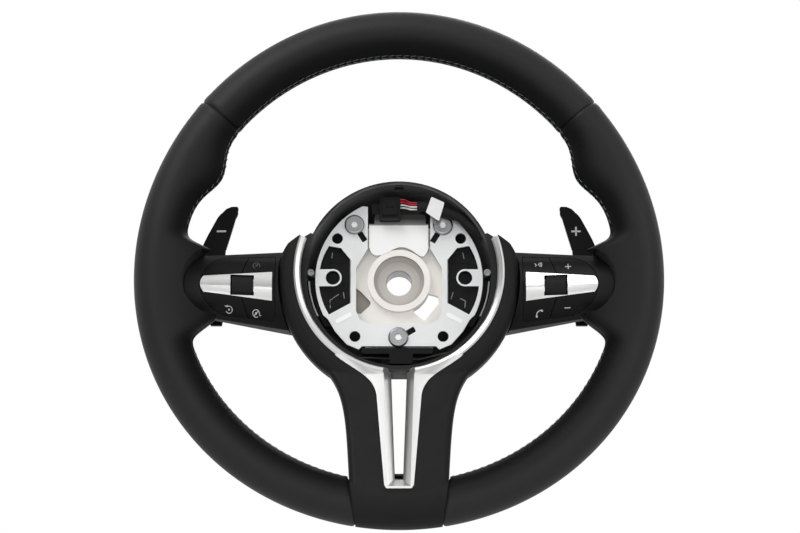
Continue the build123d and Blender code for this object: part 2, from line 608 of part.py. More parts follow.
nodes = {
    "hub_casting": hub_casting,
    "rim_ring": rim_ring,
    "spline_bush": spline_bush,
    "rim_foam": rim_foam,
    "leather_top": leather_top,
    "leather_left": leather_left,
    "leather_right": leather_right,
    "rear_cover": rear_cover,
    "rear_cover_screws": rear_cover_screws,
    "spoke_cover": spoke_cover,
    "spoke_trim": spoke_trim,
    "horn_plate": horn_plate,
    "horn_bolts": horn_bolts,
    "horn_bushes": horn_bushes,
    "horn_springs": horn_springs,
    "left_switch_bezel": left_of(bezel),
    "right_switch_bezel": bezel,
    "left_switch_board": left_of(board),
    "right_switch_board": board,
    "left_switch_trim": left_of(inlay),
    "right_switch_trim": inlay,
    "limiter_key": left_of(keys[True, False]),
    "mode_key": left_of(keys[False, False]),
    "cruise_key": left_of(keys[True, True]),
    "resume_key": left_of(keys[False, True]),
    "voice_key": keys[True, False],
    "volume_up_key": keys[False, False],
    "phone_key": keys[True, True],
    "volume_down_key": keys[False, True],
    "speed_rocker": left_of(rocker),
    "rocker_pin": left_of(barrel_pin),
    "scroll_roller": roller,
    "roller_pin": barrel_pin,
    "left_paddle": left_of(paddle),
    "right_paddle": paddle,
    "left_paddle_bracket": left_of(bracket),
    "right_paddle_bracket": bracket,
    "left_paddle_pin": left_of(paddle_pin),
    "right_paddle_pin": paddle_pin,
    "left_paddle_spring": left_of(coil_spot),
    "right_paddle_spring": coil_spot,
    "left_clip": left_of(clip),
    "right_clip": clip,
    "clip_screws": Compound([clip_screw, left_of(clip_screw)]),
    "left_hub_liner": left_of(hub_liner),
    "right_hub_liner": hub_liner,
    "loom_bracket": loom_bracket,
    "loom_connector": connector,
    "red_wires": red_wires,
    "white_wires": white_wires,
    "loom": loom,
    "loom_tag": loom_tag,
    "control_module": control_module,
    "left_lead": left_lead,
    "right_lead": right_lead,
}
for name, shape in nodes.items():
    export_step(shape, f"parts/{name}.step")
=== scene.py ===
import json
import math
import bmesh
import bpy
from mathutils import Matrix, Vector
from mathutils.bvhtree import BVHTree

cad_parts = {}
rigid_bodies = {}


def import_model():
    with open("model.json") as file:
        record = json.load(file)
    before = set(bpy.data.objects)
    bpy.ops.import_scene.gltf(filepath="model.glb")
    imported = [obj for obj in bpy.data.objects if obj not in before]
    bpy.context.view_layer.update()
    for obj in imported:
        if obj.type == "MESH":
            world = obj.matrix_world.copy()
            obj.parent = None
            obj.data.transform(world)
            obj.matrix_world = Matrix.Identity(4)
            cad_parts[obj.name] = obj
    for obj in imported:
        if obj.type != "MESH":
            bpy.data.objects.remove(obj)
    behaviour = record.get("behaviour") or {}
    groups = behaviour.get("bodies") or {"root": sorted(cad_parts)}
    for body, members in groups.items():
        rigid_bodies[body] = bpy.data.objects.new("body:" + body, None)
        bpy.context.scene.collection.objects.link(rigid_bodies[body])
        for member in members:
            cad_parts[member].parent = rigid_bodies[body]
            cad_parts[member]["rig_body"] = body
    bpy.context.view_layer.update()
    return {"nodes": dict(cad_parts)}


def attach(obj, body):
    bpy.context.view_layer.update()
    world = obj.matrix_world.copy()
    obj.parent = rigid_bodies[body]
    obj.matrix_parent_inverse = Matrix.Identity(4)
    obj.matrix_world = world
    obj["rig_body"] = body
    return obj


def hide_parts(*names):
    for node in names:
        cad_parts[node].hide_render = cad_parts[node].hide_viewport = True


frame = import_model()
nodes = frame["nodes"]
scene = bpy.context.scene
mm = 0.001
rimPlane = 63.0  # the rim's middle plane lies this far in front of the column origin


def yAt(depth):
    return (depth - rimPlane) * mm


def inMm(co):
    return co.x / mm, co.z / mm, co.y / mm + rimPlane  # across, up, depth behind the rim's plane


def share(value, low, high):
    return max(0.0, min(1.0, (value - low) / (high - low)))


def addNode(tree, kind, values=None, **settings):
    node = tree.nodes.new(kind)
    for key, value in settings.items():
        setattr(node, key, value)
    for socket, value in (values or {}).items():
        node.inputs[socket].default_value = value
    return node


def link(tree, source, target):
    tree.links.new(source, target)


def mathNode(tree, operation, *sources):
    node = addNode(tree, "ShaderNodeMath", operation=operation)
    for socket, source in zip(node.inputs, sources):
        if isinstance(source, float):
            socket.default_value = source
        else:
            link(tree, source, socket)
    return node.outputs[0]


# Shared surface effects, each a shader group
def newGroup(name, inputs, outputs):
    tree = bpy.data.node_groups.new(name, "ShaderNodeTree")
    for label, value in inputs.items():
        tree.interface.new_socket(label, in_out="INPUT", socket_type="NodeSocketFloat").default_value = value
    for label in outputs:
        tree.interface.new_socket(label, in_out="OUTPUT", socket_type="NodeSocketFloat")
    return tree, tree.nodes.new("NodeGroupInput"), tree.nodes.new("NodeGroupOutput")


def leatherGrainGroup():
    tree, start, end = newGroup("leatherGrain", {"Scale": 900.0}, ["Height", "Tone"])
    coord = addNode(tree, "ShaderNodeTexCoord")
    warp = addNode(tree, "ShaderNodeTexNoise", {"Scale": 160.0, "Detail": 2.0})
    pores = addNode(tree, "ShaderNodeTexNoise", {"Scale": 2600.0, "Detail": 3.0})
    patch = addNode(tree, "ShaderNodeTexNoise", {"Scale": 16.0, "Detail": 4.0})
    for target in (warp, pores, patch):
        link(tree, coord.outputs["Object"], target.inputs["Vector"])
    bend = addNode(tree, "ShaderNodeVectorMath", {1: (0.0012, 0.0012, 0.0012)}, operation="MULTIPLY_ADD")
    link(tree, warp.outputs["Color"], bend.inputs[0])
    link(tree, coord.outputs["Object"], bend.inputs[2])
    cells = addNode(tree, "ShaderNodeTexVoronoi", feature="DISTANCE_TO_EDGE")
    link(tree, bend.outputs[0], cells.inputs["Vector"])
    link(tree, start.outputs["Scale"], cells.inputs["Scale"])
    pebble = addNode(tree, "ShaderNodeMapRange", {"From Max": 0.22}, interpolation_type="SMOOTHSTEP")
    link(tree, cells.outputs["Distance"], pebble.inputs["Value"])
    height = mathNode(tree, "MULTIPLY_ADD", pores.outputs["Fac"], 0.35, pebble.outputs["Result"])
    link(tree, height, end.inputs["Height"])
    link(tree, patch.outputs["Fac"], end.inputs["Tone"])
    return tree


def mouldedSkinGroup():
    tree, start, end = newGroup("mouldedSkin", {"Scale": 1800.0}, ["Height", "Tone"])
    coord = addNode(tree, "ShaderNodeTexCoord")
    cells = addNode(tree, "ShaderNodeTexVoronoi", feature="SMOOTH_F1")
    fine = addNode(tree, "ShaderNodeTexNoise", {"Scale": 4200.0, "Detail": 2.0})
    patch = addNode(tree, "ShaderNodeTexNoise", {"Scale": 24.0, "Detail": 5.0})
    for target in (cells, fine, patch):
        link(tree, coord.outputs["Object"], target.inputs["Vector"])
    link(tree, start.outputs["Scale"], cells.inputs["Scale"])
    height = mathNode(tree, "MULTIPLY_ADD", fine.outputs["Fac"], 0.4, cells.outputs["Distance"])
    link(tree, height, end.inputs["Height"])
    link(tree, patch.outputs["Fac"], end.inputs["Tone"])
    return tree


def castSkinGroup():
    tree, start, end = newGroup("castSkin", {"Scale": 520.0}, ["Height", "Tone"])
    coord = addNode(tree, "ShaderNodeTexCoord")
    flow = addNode(tree, "ShaderNodeTexNoise", {"Detail": 6.0, "Roughness": 0.62})
    patch = addNode(tree, "ShaderNodeTexNoise", {"Scale": 38.0, "Detail": 6.0, "Distortion": 0.8})
    for target in (flow, patch):
        link(tree, coord.outputs["Object"], target.inputs["Vector"])
    link(tree, start.outputs["Scale"], flow.inputs["Scale"])
    link(tree, flow.outputs["Fac"], end.inputs["Height"])
    link(tree, patch.outputs["Fac"], end.inputs["Tone"])
    return tree


def handlingGroup():
    tree, start, end = newGroup("handling", {"Scale": 45.0}, ["Smudge"])
    coord = addNode(tree, "ShaderNodeTexCoord")
    cloud = addNode(tree, "ShaderNodeTexNoise", {"Detail": 7.0, "Roughness": 0.6, "Distortion": 0.4})
    link(tree, coord.outputs["Object"], cloud.inputs["Vector"])
    link(tree, start.outputs["Scale"], cloud.inputs["Scale"])
    sharpen = addNode(tree, "ShaderNodeMapRange", {"From Min": 0.32, "From Max": 0.7})
    link(tree, cloud.outputs["Fac"], sharpen.inputs["Value"])
    link(tree, sharpen.outputs["Result"], end.inputs["Smudge"])
    return tree


def edgeWearAndHighlightGroup():
    tree, start, end = newGroup("edgeWearAndHighlight", {"Amount": 0.5}, ["Wear"])
    edge = addNode(tree, "ShaderNodeAttribute", attribute_name="edge")
    coord = addNode(tree, "ShaderNodeTexCoord")
    chips = addNode(tree, "ShaderNodeTexNoise", {"Scale": 220.0, "Detail": 4.0})
    link(tree, coord.outputs["Object"], chips.inputs["Vector"])
    spread = addNode(tree, "ShaderNodeMapRange", {"From Min": 0.35, "From Max": 0.65})
    link(tree, chips.outputs["Fac"], spread.inputs["Value"])
    chipped = mathNode(tree, "MULTIPLY", edge.outputs["Fac"], spread.outputs["Result"])
    link(tree, mathNode(tree, "MULTIPLY", chipped, start.outputs["Amount"]), end.inputs["Wear"])
    return tree


def darkArmsShadedLedgeGroup():
    # the casting is black on its arms, and the ledge over the pad darkens with painted shade
    tree, start, end = newGroup("armCoat", {"Side": 0.056, "Low": 0.0505, "Ledge": 0.0412}, ["Coat"])
    coord = addNode(tree, "ShaderNodeTexCoord")
    axes = addNode(tree, "ShaderNodeSeparateXYZ")
    link(tree, coord.outputs["Object"], axes.inputs[0])
    across = mathNode(tree, "ABSOLUTE", axes.outputs["X"])
    down = mathNode(tree, "MULTIPLY", axes.outputs["Z"], -1.0)
    onSide = mathNode(tree, "GREATER_THAN", across, start.outputs["Side"])
    onFoot = mathNode(tree, "GREATER_THAN", down, start.outputs["Low"])
    above = mathNode(tree, "SUBTRACT", axes.outputs["Z"], start.outputs["Ledge"])
    fade = addNode(tree, "ShaderNodeMapRange", {"From Max": 0.005, "To Min": 0.72, "To Max": 0.98})
    link(tree, above, fade.inputs["Value"])
    onLedge = mathNode(tree, "MULTIPLY", fade.outputs["Result"], mathNode(tree, "GREATER_THAN", above, 0.0))
    onArms = mathNode(tree, "MAXIMUM", onSide, onFoot)
    link(tree, mathNode(tree, "MAXIMUM", onArms, onLedge), end.inputs["Coat"])
    return tree


skins = {"leather": leatherGrainGroup(), "moulded": mouldedSkinGroup(), "cast": castSkinGroup()}
handling = handlingGroup()
edgeWearAndHighlight = edgeWearAndHighlightGroup()
armCoat = darkArmsShadedLedgeGroup()


def tint(tree, colour, factor, target):
    mix = addNode(tree, "ShaderNodeMix", data_type="RGBA")
    mix.inputs["B"].default_value = (*target, 1)
    link(tree, factor, mix.inputs["Factor"])
    link(tree, colour, mix.inputs["A"])
    return mix.outputs["Result"]


def finish(name, look):
    material = bpy.data.materials.new(name)
    material.use_nodes = True
    tree = material.node_tree
    shader = tree.nodes["Principled BSDF"]
    for socket, value in look.get("sockets", {}).items():
        shader.inputs[socket].default_value = value
    skin = addNode(tree, "ShaderNodeGroup", node_tree=skins[look["skin"]])
    skin.inputs["Scale"].default_value = look["skinScale"]
    bump = addNode(tree, "ShaderNodeBump", {"Strength": 1.0, "Distance": look["relief"] * mm})
    link(tree, skin.outputs["Height"], bump.inputs["Height"])
    link(tree, bump.outputs["Normal"], shader.inputs["Normal"])
    base, spread = look["color"], look.get("spread", 0.15)
    tone = addNode(tree, "ShaderNodeMix", data_type="RGBA")
    tone.inputs["A"].default_value = (*[c * (1 - spread) for c in base], 1)
    tone.inputs["B"].default_value = (*[min(1, c * (1 + spread)) for c in base], 1)
    link(tree, skin.outputs["Tone"], tone.inputs["Factor"])
    colour = tone.outputs["Result"]
    # these attributes tint the colour: milled tone, painted highlights, and painted light and shade
    for label in ("machined", "raw", "inward"):
        if label in look:
            where = addNode(tree, "ShaderNodeAttribute", attribute_name=label)
            colour = tint(tree, colour, where.outputs["Fac"], look[label])
    # edge wear, and on the keys painted highlights along the edges
    if "wear" in look:
        edgeMarked = addNode(tree, "ShaderNodeGroup", node_tree=edgeWearAndHighlight)
        edgeMarked.inputs["Amount"].default_value = look["wear"]
        colour = tint(tree, colour, edgeMarked.outputs["Wear"], look["wearAndHighlightColor"])
    # black arms of the casting and painted shade on its ledge
    if "coated" in look:
        coat = addNode(tree, "ShaderNodeGroup", node_tree=armCoat)
        colour = tint(tree, colour, coat.outputs["Coat"], look["coated"])
    if "burnish" in look:
        where = addNode(tree, "ShaderNodeAttribute", attribute_name="inward")
        polish = addNode(tree, "ShaderNodeMapRange", {"To Min": look["burnish"], "To Max": 0.0})
        link(tree, where.outputs["Fac"], polish.inputs["Value"])
        link(tree, polish.outputs["Result"], shader.inputs["Coat Weight"])
    link(tree, colour, shader.inputs["Base Color"])
    touch = addNode(tree, "ShaderNodeGroup", node_tree=handling)
    touch.inputs["Scale"].default_value = look.get("smudgeScale", 45.0)
    low, high = look["rough"]
    gloss = addNode(tree, "ShaderNodeMapRange", {"To Min": low, "To Max": high})
    link(tree, touch.outputs["Smudge"], gloss.inputs["Value"])
    link(tree, gloss.outputs["Result"], shader.inputs["Roughness"])
    return material


looks = {
    # leather: the darker colour on the side of the tube facing the hub is painted shade
    "leather": dict(slot="leather", skin="leather", skinScale=1050.0, relief=0.035, spread=0.14,
                    color=(0.0108, 0.0108, 0.0114), inward=(0.003, 0.003, 0.0032), burnish=0.4,
                    rough=(0.48, 0.6), smudgeScale=22.0,
                    sockets={"Specular IOR Level": 0.1, "Coat Roughness": 0.5}),
    "foam": dict(skin="cast", skinScale=900.0, relief=0.1, color=(0.018, 0.018, 0.019), rough=(0.85, 0.95),
                 sockets={"Specular IOR Level": 0.2}),
    # casting: the recess colour is painted shade in the pocket and the well; the arms are black and the ledge
    # over the pad has painted shade
    "casting": dict(slot="casting", skin="cast", skinScale=620.0, relief=0.05, spread=0.08,
                    color=(0.9, 0.872, 0.83), machined=(0.94, 0.94, 0.935), raw=(0.34, 0.315, 0.28),
                    coated=(0.012, 0.012, 0.012), wear=0.5, wearAndHighlightColor=(0.86, 0.84, 0.8), rough=(0.42, 0.62),
                    sockets={"Metallic": 0.25}),
    # plate: the bright bead fronts are a painted highlight
    "plateMetal": dict(slot="plate_metal", skin="cast", skinScale=420.0, relief=0.012, spread=0.09,
                       color=(0.76, 0.77, 0.772), machined=(0.9, 0.9, 0.9), wear=0.5,
                       wearAndHighlightColor=(0.86, 0.86, 0.86), rough=(0.34, 0.48), sockets={"Metallic": 0.85}),
    # bolts: the bright drive recess floors are a painted glint
    "boltSteel": dict(slot="bolt_steel", skin="cast", skinScale=900.0, relief=0.015, spread=0.25,
                      color=(0.36, 0.365, 0.37), machined=(0.92, 0.92, 0.92), wear=0.6,
                      wearAndHighlightColor=(0.6, 0.6, 0.6), rough=(0.24, 0.36), sockets={"Metallic": 1.0}),
    "steel": dict(slot="steel", skin="cast", skinScale=700.0, relief=0.012, color=(0.3, 0.3, 0.3),
                  rough=(0.28, 0.42), sockets={"Metallic": 1.0}),
    "satinSilver": dict(slot="satin_silver", skin="moulded", skinScale=2600.0, relief=0.006, spread=0.03,
                        color=(0.72, 0.72, 0.715), wear=0.4, wearAndHighlightColor=(0.85, 0.85, 0.85),
                        rough=(0.29, 0.32), sockets={"Metallic": 0.9}),
    "matteBlack": dict(slot="matte_black", skin="moulded", skinScale=1700.0, relief=0.03, spread=0.1,
                       color=(0.0092, 0.0092, 0.0095), wear=0.5, wearAndHighlightColor=(0.02, 0.02, 0.021),
                       rough=(0.5, 0.62), sockets={"Specular IOR Level": 0.17}),
    "coverBlack": dict(slot="matte_black", skin="moulded", skinScale=1500.0, relief=0.045, spread=0.12,
                       color=(0.018, 0.018, 0.0185), wear=0.5, wearAndHighlightColor=(0.025, 0.025, 0.025),
                       rough=(0.5, 0.66), sockets={"Specular IOR Level": 0.24}),
    # bezel: the grey toward the rim end is painted light, the black toward the hub painted shade
    "bezelBlack": dict(slot="switch_black", skin="moulded", skinScale=2000.0, relief=0.02, spread=0.1,
                       color=(0.01, 0.01, 0.0104), inward=(0.003, 0.003, 0.0032), wear=0.6,
                       wearAndHighlightColor=(0.03, 0.03, 0.03), rough=(0.46, 0.58),
                       sockets={"Specular IOR Level": 0.18}),
    # keys: the bright edge colour paints highlights along the key edges
    "keyBlack": dict(slot="key_black", skin="moulded", skinScale=2800.0, relief=0.012, spread=0.1,
                     color=(0.0056, 0.0056, 0.006), wear=0.9, wearAndHighlightColor=(0.06, 0.06, 0.06),
                     rough=(0.34, 0.44), sockets={"Specular IOR Level": 0.12}),
    "rollerBlack": dict(slot="roller_black", skin="moulded", skinScale=3000.0, relief=0.02,
                        color=(0.010, 0.010, 0.0105), rough=(0.48, 0.6),
                        sockets={"Specular IOR Level": 0.2}),
    "paddleBlack": dict(slot="paddle_black", skin="moulded", skinScale=2200.0, relief=0.012, spread=0.1,
                        color=(0.0045, 0.0045, 0.0048), wear=0.6, wearAndHighlightColor=(0.024, 0.024, 0.024),
                        rough=(0.34, 0.46), sockets={"Specular IOR Level": 0.12}),
    "bushPlastic": dict(slot="bush_plastic", skin="moulded", skinScale=1800.0, relief=0.02,
                        color=(0.006, 0.006, 0.006), rough=(0.45, 0.6),
                        sockets={"Specular IOR Level": 0.15}),
    "board": dict(slot="board", skin="moulded", skinScale=900.0, relief=0.02, color=(0.012, 0.03, 0.018),
                  rough=(0.4, 0.55)),
    "connectorBlack": dict(slot="connector_black", skin="moulded", skinScale=2000.0, relief=0.02,
                           color=(0.0065, 0.0065, 0.0068), wear=0.5, wearAndHighlightColor=(0.03, 0.03, 0.03),
                           rough=(0.4, 0.55), sockets={"Specular IOR Level": 0.14}),
    "loomTape": dict(slot="loom_tape", skin="leather", skinScale=700.0, relief=0.08,
                     color=(0.010, 0.010, 0.0105), rough=(0.55, 0.75), sockets={"Specular IOR Level": 0.2}),
    "redSleeve": dict(slot="red_sleeve", skin="moulded", skinScale=1500.0, relief=0.015,
                      color=(0.42, 0.012, 0.03), rough=(0.34, 0.44)),
    "whiteSleeve": dict(slot="white_sleeve", skin="moulded", skinScale=1500.0, relief=0.015,
                        color=(0.78, 0.77, 0.74), rough=(0.34, 0.44)),
    "blackSleeve": dict(slot="black_sleeve", skin="moulded", skinScale=1500.0, relief=0.015,
                        color=(0.010, 0.010, 0.010), rough=(0.36, 0.48),
                        sockets={"Specular IOR Level": 0.25}),
    "tagWhite": dict(slot="tag_white", skin="cast", skinScale=1600.0, relief=0.01, spread=0.04,
                     color=(0.82, 0.82, 0.81), rough=(0.5, 0.62)),
    "thread": dict(slot="leather", skin="leather", skinScale=2600.0, relief=0.05, spread=0.2,
                   color=(0.13, 0.137, 0.142), rough=(0.6, 0.75), sockets={"Sheen Weight": 0.2}),
    "iconWhite": dict(skin="moulded", skinScale=2600.0, relief=0.004, spread=0.04, color=(0.6, 0.6, 0.6),
                      rough=(0.4, 0.5)),
    "iconGrey": dict(skin="moulded", skinScale=2600.0, relief=0.004, spread=0.06, color=(0.07, 0.07, 0.07),
                     rough=(0.4, 0.5)),
    # painted highlights on the liners' rib edges
    "ribHighlight": dict(skin="moulded", skinScale=2600.0, relief=0.004, color=(0.26, 0.26, 0.26),
                    rough=(0.4, 0.5)),
}
# painted light: the bowl's arch, marked by markArch, is painted grey
looks["bowlBlack"] = dict(looks["coverBlack"], inward=(0.09, 0.09, 0.092))
paint = {name: finish(name, look) for name, look in looks.items()}
print("materials", len(paint))


def addObject(name, data):
    made = bpy.data.objects.new(name, data)
    scene.collection.objects.link(made)
    return made


def newPiece(name, mesh, material, body, replaces=(), slot=None):
    slot = slot or looks[material]["slot"]
    piece = addObject(name, mesh)
    mesh.materials.clear()
    mesh.materials.append(paint[material])
    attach(piece, body)
    if replaces:
        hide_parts(*replaces)
    return piece


def meshFrom(bm, name):
    mesh = bpy.data.meshes.new(name)
    bm.to_mesh(mesh)
    bm.free()
    return mesh


def smoothByAngle(mesh, angle=50):
    mesh.shade_smooth()
    mesh.set_sharp_from_angle(angle=math.radians(angle))


def mark(mesh, label, domain, values):
    mesh.attributes.new(label, "FLOAT", domain).data.foreach_set("value", values)


def prism(name, outline, dFront, dBack):
    bm = bmesh.new()
    low = [bm.verts.new((x * mm, yAt(dFront), z * mm)) for x, z in outline]
    high = [bm.verts.new((x * mm, yAt(dBack), z * mm)) for x, z in outline]
    bm.faces.new(low)
    bm.faces.new(high)
    for i in range(len(low)):
        k = (i + 1) % len(low)
        bm.faces.new((low[i], low[k], high[k], high[i]))
    bmesh.ops.recalc_face_normals(bm, faces=bm.faces)
    return addObject(name, meshFrom(bm, name))


def shapeWith(holder, cuts):
    for operation, outline, depths in cuts:
        shape = holder.modifiers.new("shape", "BOOLEAN")
        shape.operation, shape.solver = operation, "EXACT"
        shape.object = prism("shaper", outline, *depths)


def plainMesh(holder):
    shapers = [m.object for m in holder.modifiers if m.type == "BOOLEAN"]
    graph = bpy.context.evaluated_depsgraph_get()
    mesh = bpy.data.meshes.new_from_object(holder.evaluated_get(graph))
    for used in [holder] + shapers:
        old = used.data
        bpy.data.objects.remove(used)
        if old.users == 0:
            bpy.data.meshes.remove(old)
    return mesh


# Leather rim: three sewn covers, grown from the angle round the wheel and the angle round the section
rim = dict(radius=189.2, drop=1.75, lobe=1.65, halfDepth=15.5, halfWidth=17.2, width=34.1, topGain=0.6,
           gripAngle=26.8, gripSwell=9.9, gripSpread=7.0, webTop=6.3, webBottom=-18.0, webReach=23.6,
           webBlend=1.6, coverAngle=40.5, coverGap=0.06, footAngle=-80.5, angleStep=0.35, degreeLength=3.0,
           aroundSteps=84, crowding=38.4)  # degreeLength is mm along the rim, crowding is in degrees
seam = dict(turn=193.0, turnLength=0.29, depth=0.75, half=1.1, sharpness=2.2,
            lip=0.22, lipAt=2.6, lipSpan=1.2)
roll = dict(reach=2.4, depth=1.0, puff=0.18, puffAt=4.0, puffSpan=2.0)
spokeDrop = -11.5


def rimOuter(angle):
    a = math.radians(angle)
    return rim["radius"] - rim["drop"] * math.sin(a) - rim["lobe"] * math.sin(3 * a)


def rimSpan(angle):
    a = angle if angle > -90 else -180 - angle
    a = 180 - a if a > 90 else a
    grip = rim["gripSwell"] * math.exp(-((a - rim["gripAngle"]) / rim["gripSpread"]) ** 2)
    web = (1 + math.tanh((rim["webTop"] - a) / rim["webBlend"])) / 2
    web *= (1 + math.tanh((a - rim["webBottom"]) / rim["webBlend"])) / 2
    return rim["width"] + rim["topGain"] * math.sin(math.radians(a)) + grip + rim["webReach"] * web


def rimPoint(angle, turn, lift=0.0):
    c, s = math.cos(math.radians(angle)), math.sin(math.radians(angle))
    ct, st = math.cos(math.radians(turn)), math.sin(math.radians(turn))
    reach = rim["halfWidth"] if ct >= 0 else rimSpan(angle) - rim["halfWidth"]
    r = rimOuter(angle) - rim["halfWidth"] + (reach + lift) * ct
    depth = (rim["halfDepth"] + lift) * st
    return Vector((r * c * mm, yAt(depth), r * s * mm))


# The switch bezel's outline, which the leather is trimmed to
bezel = dict(inner=(62.0, 31.0), outer=(139.5, 22.5), tip=153.7, arcSteps=40)


def bezelOutline(grow):
    (endX, endZ), steps = bezel["outer"], bezel["arcSteps"]
    bulge = bezel["tip"] - endX
    centre = endX + (bulge ** 2 - endZ ** 2) / (2 * bulge)  # arc through the corners and the tip
    radius = bezel["tip"] - centre
    first = math.atan2(endZ, endX - centre)
    angles = [first * (1 - 2 * i / steps) for i in range(1, steps)]
    upper = [bezel["inner"], bezel["outer"]]
    points = upper + [(centre + radius * math.cos(a), radius * math.sin(a)) for a in angles]
    points += [(x, -z) for x, z in reversed(upper)]
    grown = []
    for i, (x, z) in enumerate(points):
        before, after = points[i - 1], points[(i + 1) % len(points)]
        along = Vector((after[0] - before[0], after[1] - before[1])).normalized()
        grown.append((x - along.y * grow, z + along.x * grow + spokeDrop))
    return grown


# The edge where the leather meets the spoke cover's foot
seat = dict(high=-140.0, top=(36.2, -149.5), bottom=(31.1, -187.0), low=(30.3, -200.0), middle=-10.0,
            below=-68.0, roll=1.7)


def toSegment(p, a, b):
    ab = b - a
    k = max(0.0, min(1.0, (p - a).dot(ab) / ab.length_squared))
    return (p - a - ab * k).length


def rollAt(gap):
    if gap >= roll["reach"]:
        return 0.0
    k = 1 - max(0.0, gap) / roll["reach"]
    return -roll["depth"] * (1 - math.sqrt(max(0.0, 1 - k * k)))


def leatherLift(angle, turn, endGap):
    lift = rollAt(endGap) + roll["puff"] * math.exp(-((endGap - roll["puffAt"]) / roll["puffSpan"]) ** 2)
    across = abs((turn - seam["turn"] + 180) % 360 - 180) * seam["turnLength"]  # about mm from the sewn seam
    lift -= seam["depth"] * math.exp(-seam["sharpness"] * (across / seam["half"]) ** 2)
    lift += seam["lip"] * math.exp(-((across - seam["lipAt"]) / seam["lipSpan"]) ** 2)
    a = angle if angle < 90 else 180 - angle
    if a < seat["below"]:
        p = rimPoint(a, turn)
        flat = Vector((p.x / mm, p.z / mm))
        lift += seat["roll"] * rollAt(toSegment(flat, Vector(seat["top"]), Vector(seat["bottom"])))
    return lift


def turnsAround():
    # closer rows beside the sewn seam
    count = rim["aroundSteps"]
    return [(seam["turn"] + 360 * i / count - rim["crowding"] * math.sin(2 * math.pi * i / count)) % 360
            for i in range(count)]


def leatherMesh(name, first, last, rolledEnds):
    bm = bmesh.new()
    turns = turnsAround()
    steps = int(abs(last - first) / rim["angleStep"])
    rings = []
    for i in range(steps + 1):
        angle = first + (last - first) * i / steps
        endGap = min(abs(angle - end) * rim["degreeLength"] for end in rolledEnds)
        rings.append([bm.verts.new(rimPoint(angle, t, leatherLift(angle, t, endGap))) for t in turns])
    for i in range(steps):
        for j in range(len(turns)):
            k = (j + 1) % len(turns)
            bm.faces.new((rings[i][j], rings[i + 1][j], rings[i + 1][k], rings[i][k]))
    for ring in (rings[0], rings[-1]):
        middle = bm.verts.new(sum((v.co for v in ring), Vector()) / len(ring))
        for j in range(len(ring)):
            bm.faces.new((ring[j], ring[(j + 1) % len(ring)], middle))
    bmesh.ops.recalc_face_normals(bm, faces=bm.faces)
    return meshFrom(bm, name)


def mirrored(mesh, name):
    copy = mesh.copy()
    copy.name = name
    copy.transform(Matrix.Diagonal((-1, 1, 1, 1)))
    copy.flip_normals()
    return copy


# painted shade on the leather: the span of facing over which it darkens toward the hub
paintedShadeSpan = dict(outer=-0.25, inner=0.6)  # how far the surface turns to the hub, as a cosine


def markPaintedShade(mesh):
    # painted shade: 0 on the outer half of the tube, 1 where the leather faces the hub, where its colour is
    # darkened and its coat fades
    values = []
    for corner, facing in zip(mesh.loops, mesh.corner_normals):
        spot = mesh.vertices[corner.vertex_index].co
        toHub = -Vector((spot.x, 0, spot.z)).normalized()
        k = share(facing.vector.dot(toHub), paintedShadeSpan["outer"], paintedShadeSpan["inner"])
        values.append(k * k * (3 - 2 * k))
    mark(mesh, "inward", "CORNER", values)


topEnds = (rim["coverAngle"] + rim["coverGap"], 180 - rim["coverAngle"] - rim["coverGap"])
topMesh = leatherMesh("rimLeatherTop", *topEnds, topEnds)
sideEnd = rim["coverAngle"] - rim["coverGap"]
sideHolder = addObject("sideLeather", leatherMesh("rimLeatherRight", sideEnd, rim["footAngle"], (sideEnd,)))
seatOutline = [(seat["top"][0], seat["high"]), seat["top"], seat["bottom"], seat["low"],
               (seat["middle"], seat["low"][1]), (seat["middle"], seat["high"])]
# the leather tucks in behind the bezel's corners, counted along the bezel's outline
tuck = dict(gap=0.3, reach=2.4, depth=(0.5, 14.5), corners=((1, 20), (22, 41)), through=(-30, 40))
near, far = bezelOutline(tuck["gap"]), bezelOutline(tuck["reach"])
rimCuts = [("DIFFERENCE", near, tuck["through"]), ("DIFFERENCE", seatOutline, tuck["through"])]
rimCuts += [("UNION", near[a:b] + far[a:b][::-1], tuck["depth"]) for a, b in tuck["corners"]]
shapeWith(sideHolder, rimCuts)
rightMesh = plainMesh(sideHolder)
leftMesh = mirrored(rightMesh, "rimLeatherLeft")
leathers = []
for side, mesh in (("Top", topMesh), ("Right", rightMesh), ("Left", leftMesh)):
    smoothByAngle(mesh)
    piece = newPiece("rimLeather" + side, mesh, "leather", "wheel", ["leather_" + side.lower()])
    markPaintedShade(mesh)
    leathers.append(piece)
print("rim leather", [len(p.data.polygons) for p in leathers])


# Geometry trees: a small tube instanced on points, made plain
def geometryTree(name, inputs):
    tree = bpy.data.node_groups.new(name, "GeometryNodeTree")
    tree.interface.new_socket("Geometry", in_out="INPUT", socket_type="NodeSocketGeometry")
    tree.interface.new_socket("Geometry", in_out="OUTPUT", socket_type="NodeSocketGeometry")
    for label, kind in inputs.items():
        tree.interface.new_socket(label, in_out="INPUT", socket_type=kind)
    return tree, tree.nodes.new("NodeGroupInput"), tree.nodes.new("NodeGroupOutput")


def tubeOn(tree, curve, radius, sides):
    section = addNode(tree, "GeometryNodeCurvePrimitiveCircle", {"Resolution": sides})
    tube = addNode(tree, "GeometryNodeCurveToMesh", {"Fill Caps": True})
    link(tree, radius, section.inputs["Radius"])
    link(tree, curve, tube.inputs["Curve"])
    link(tree, section.outputs["Curve"], tube.inputs["Profile Curve"])
    return tube.outputs["Mesh"]


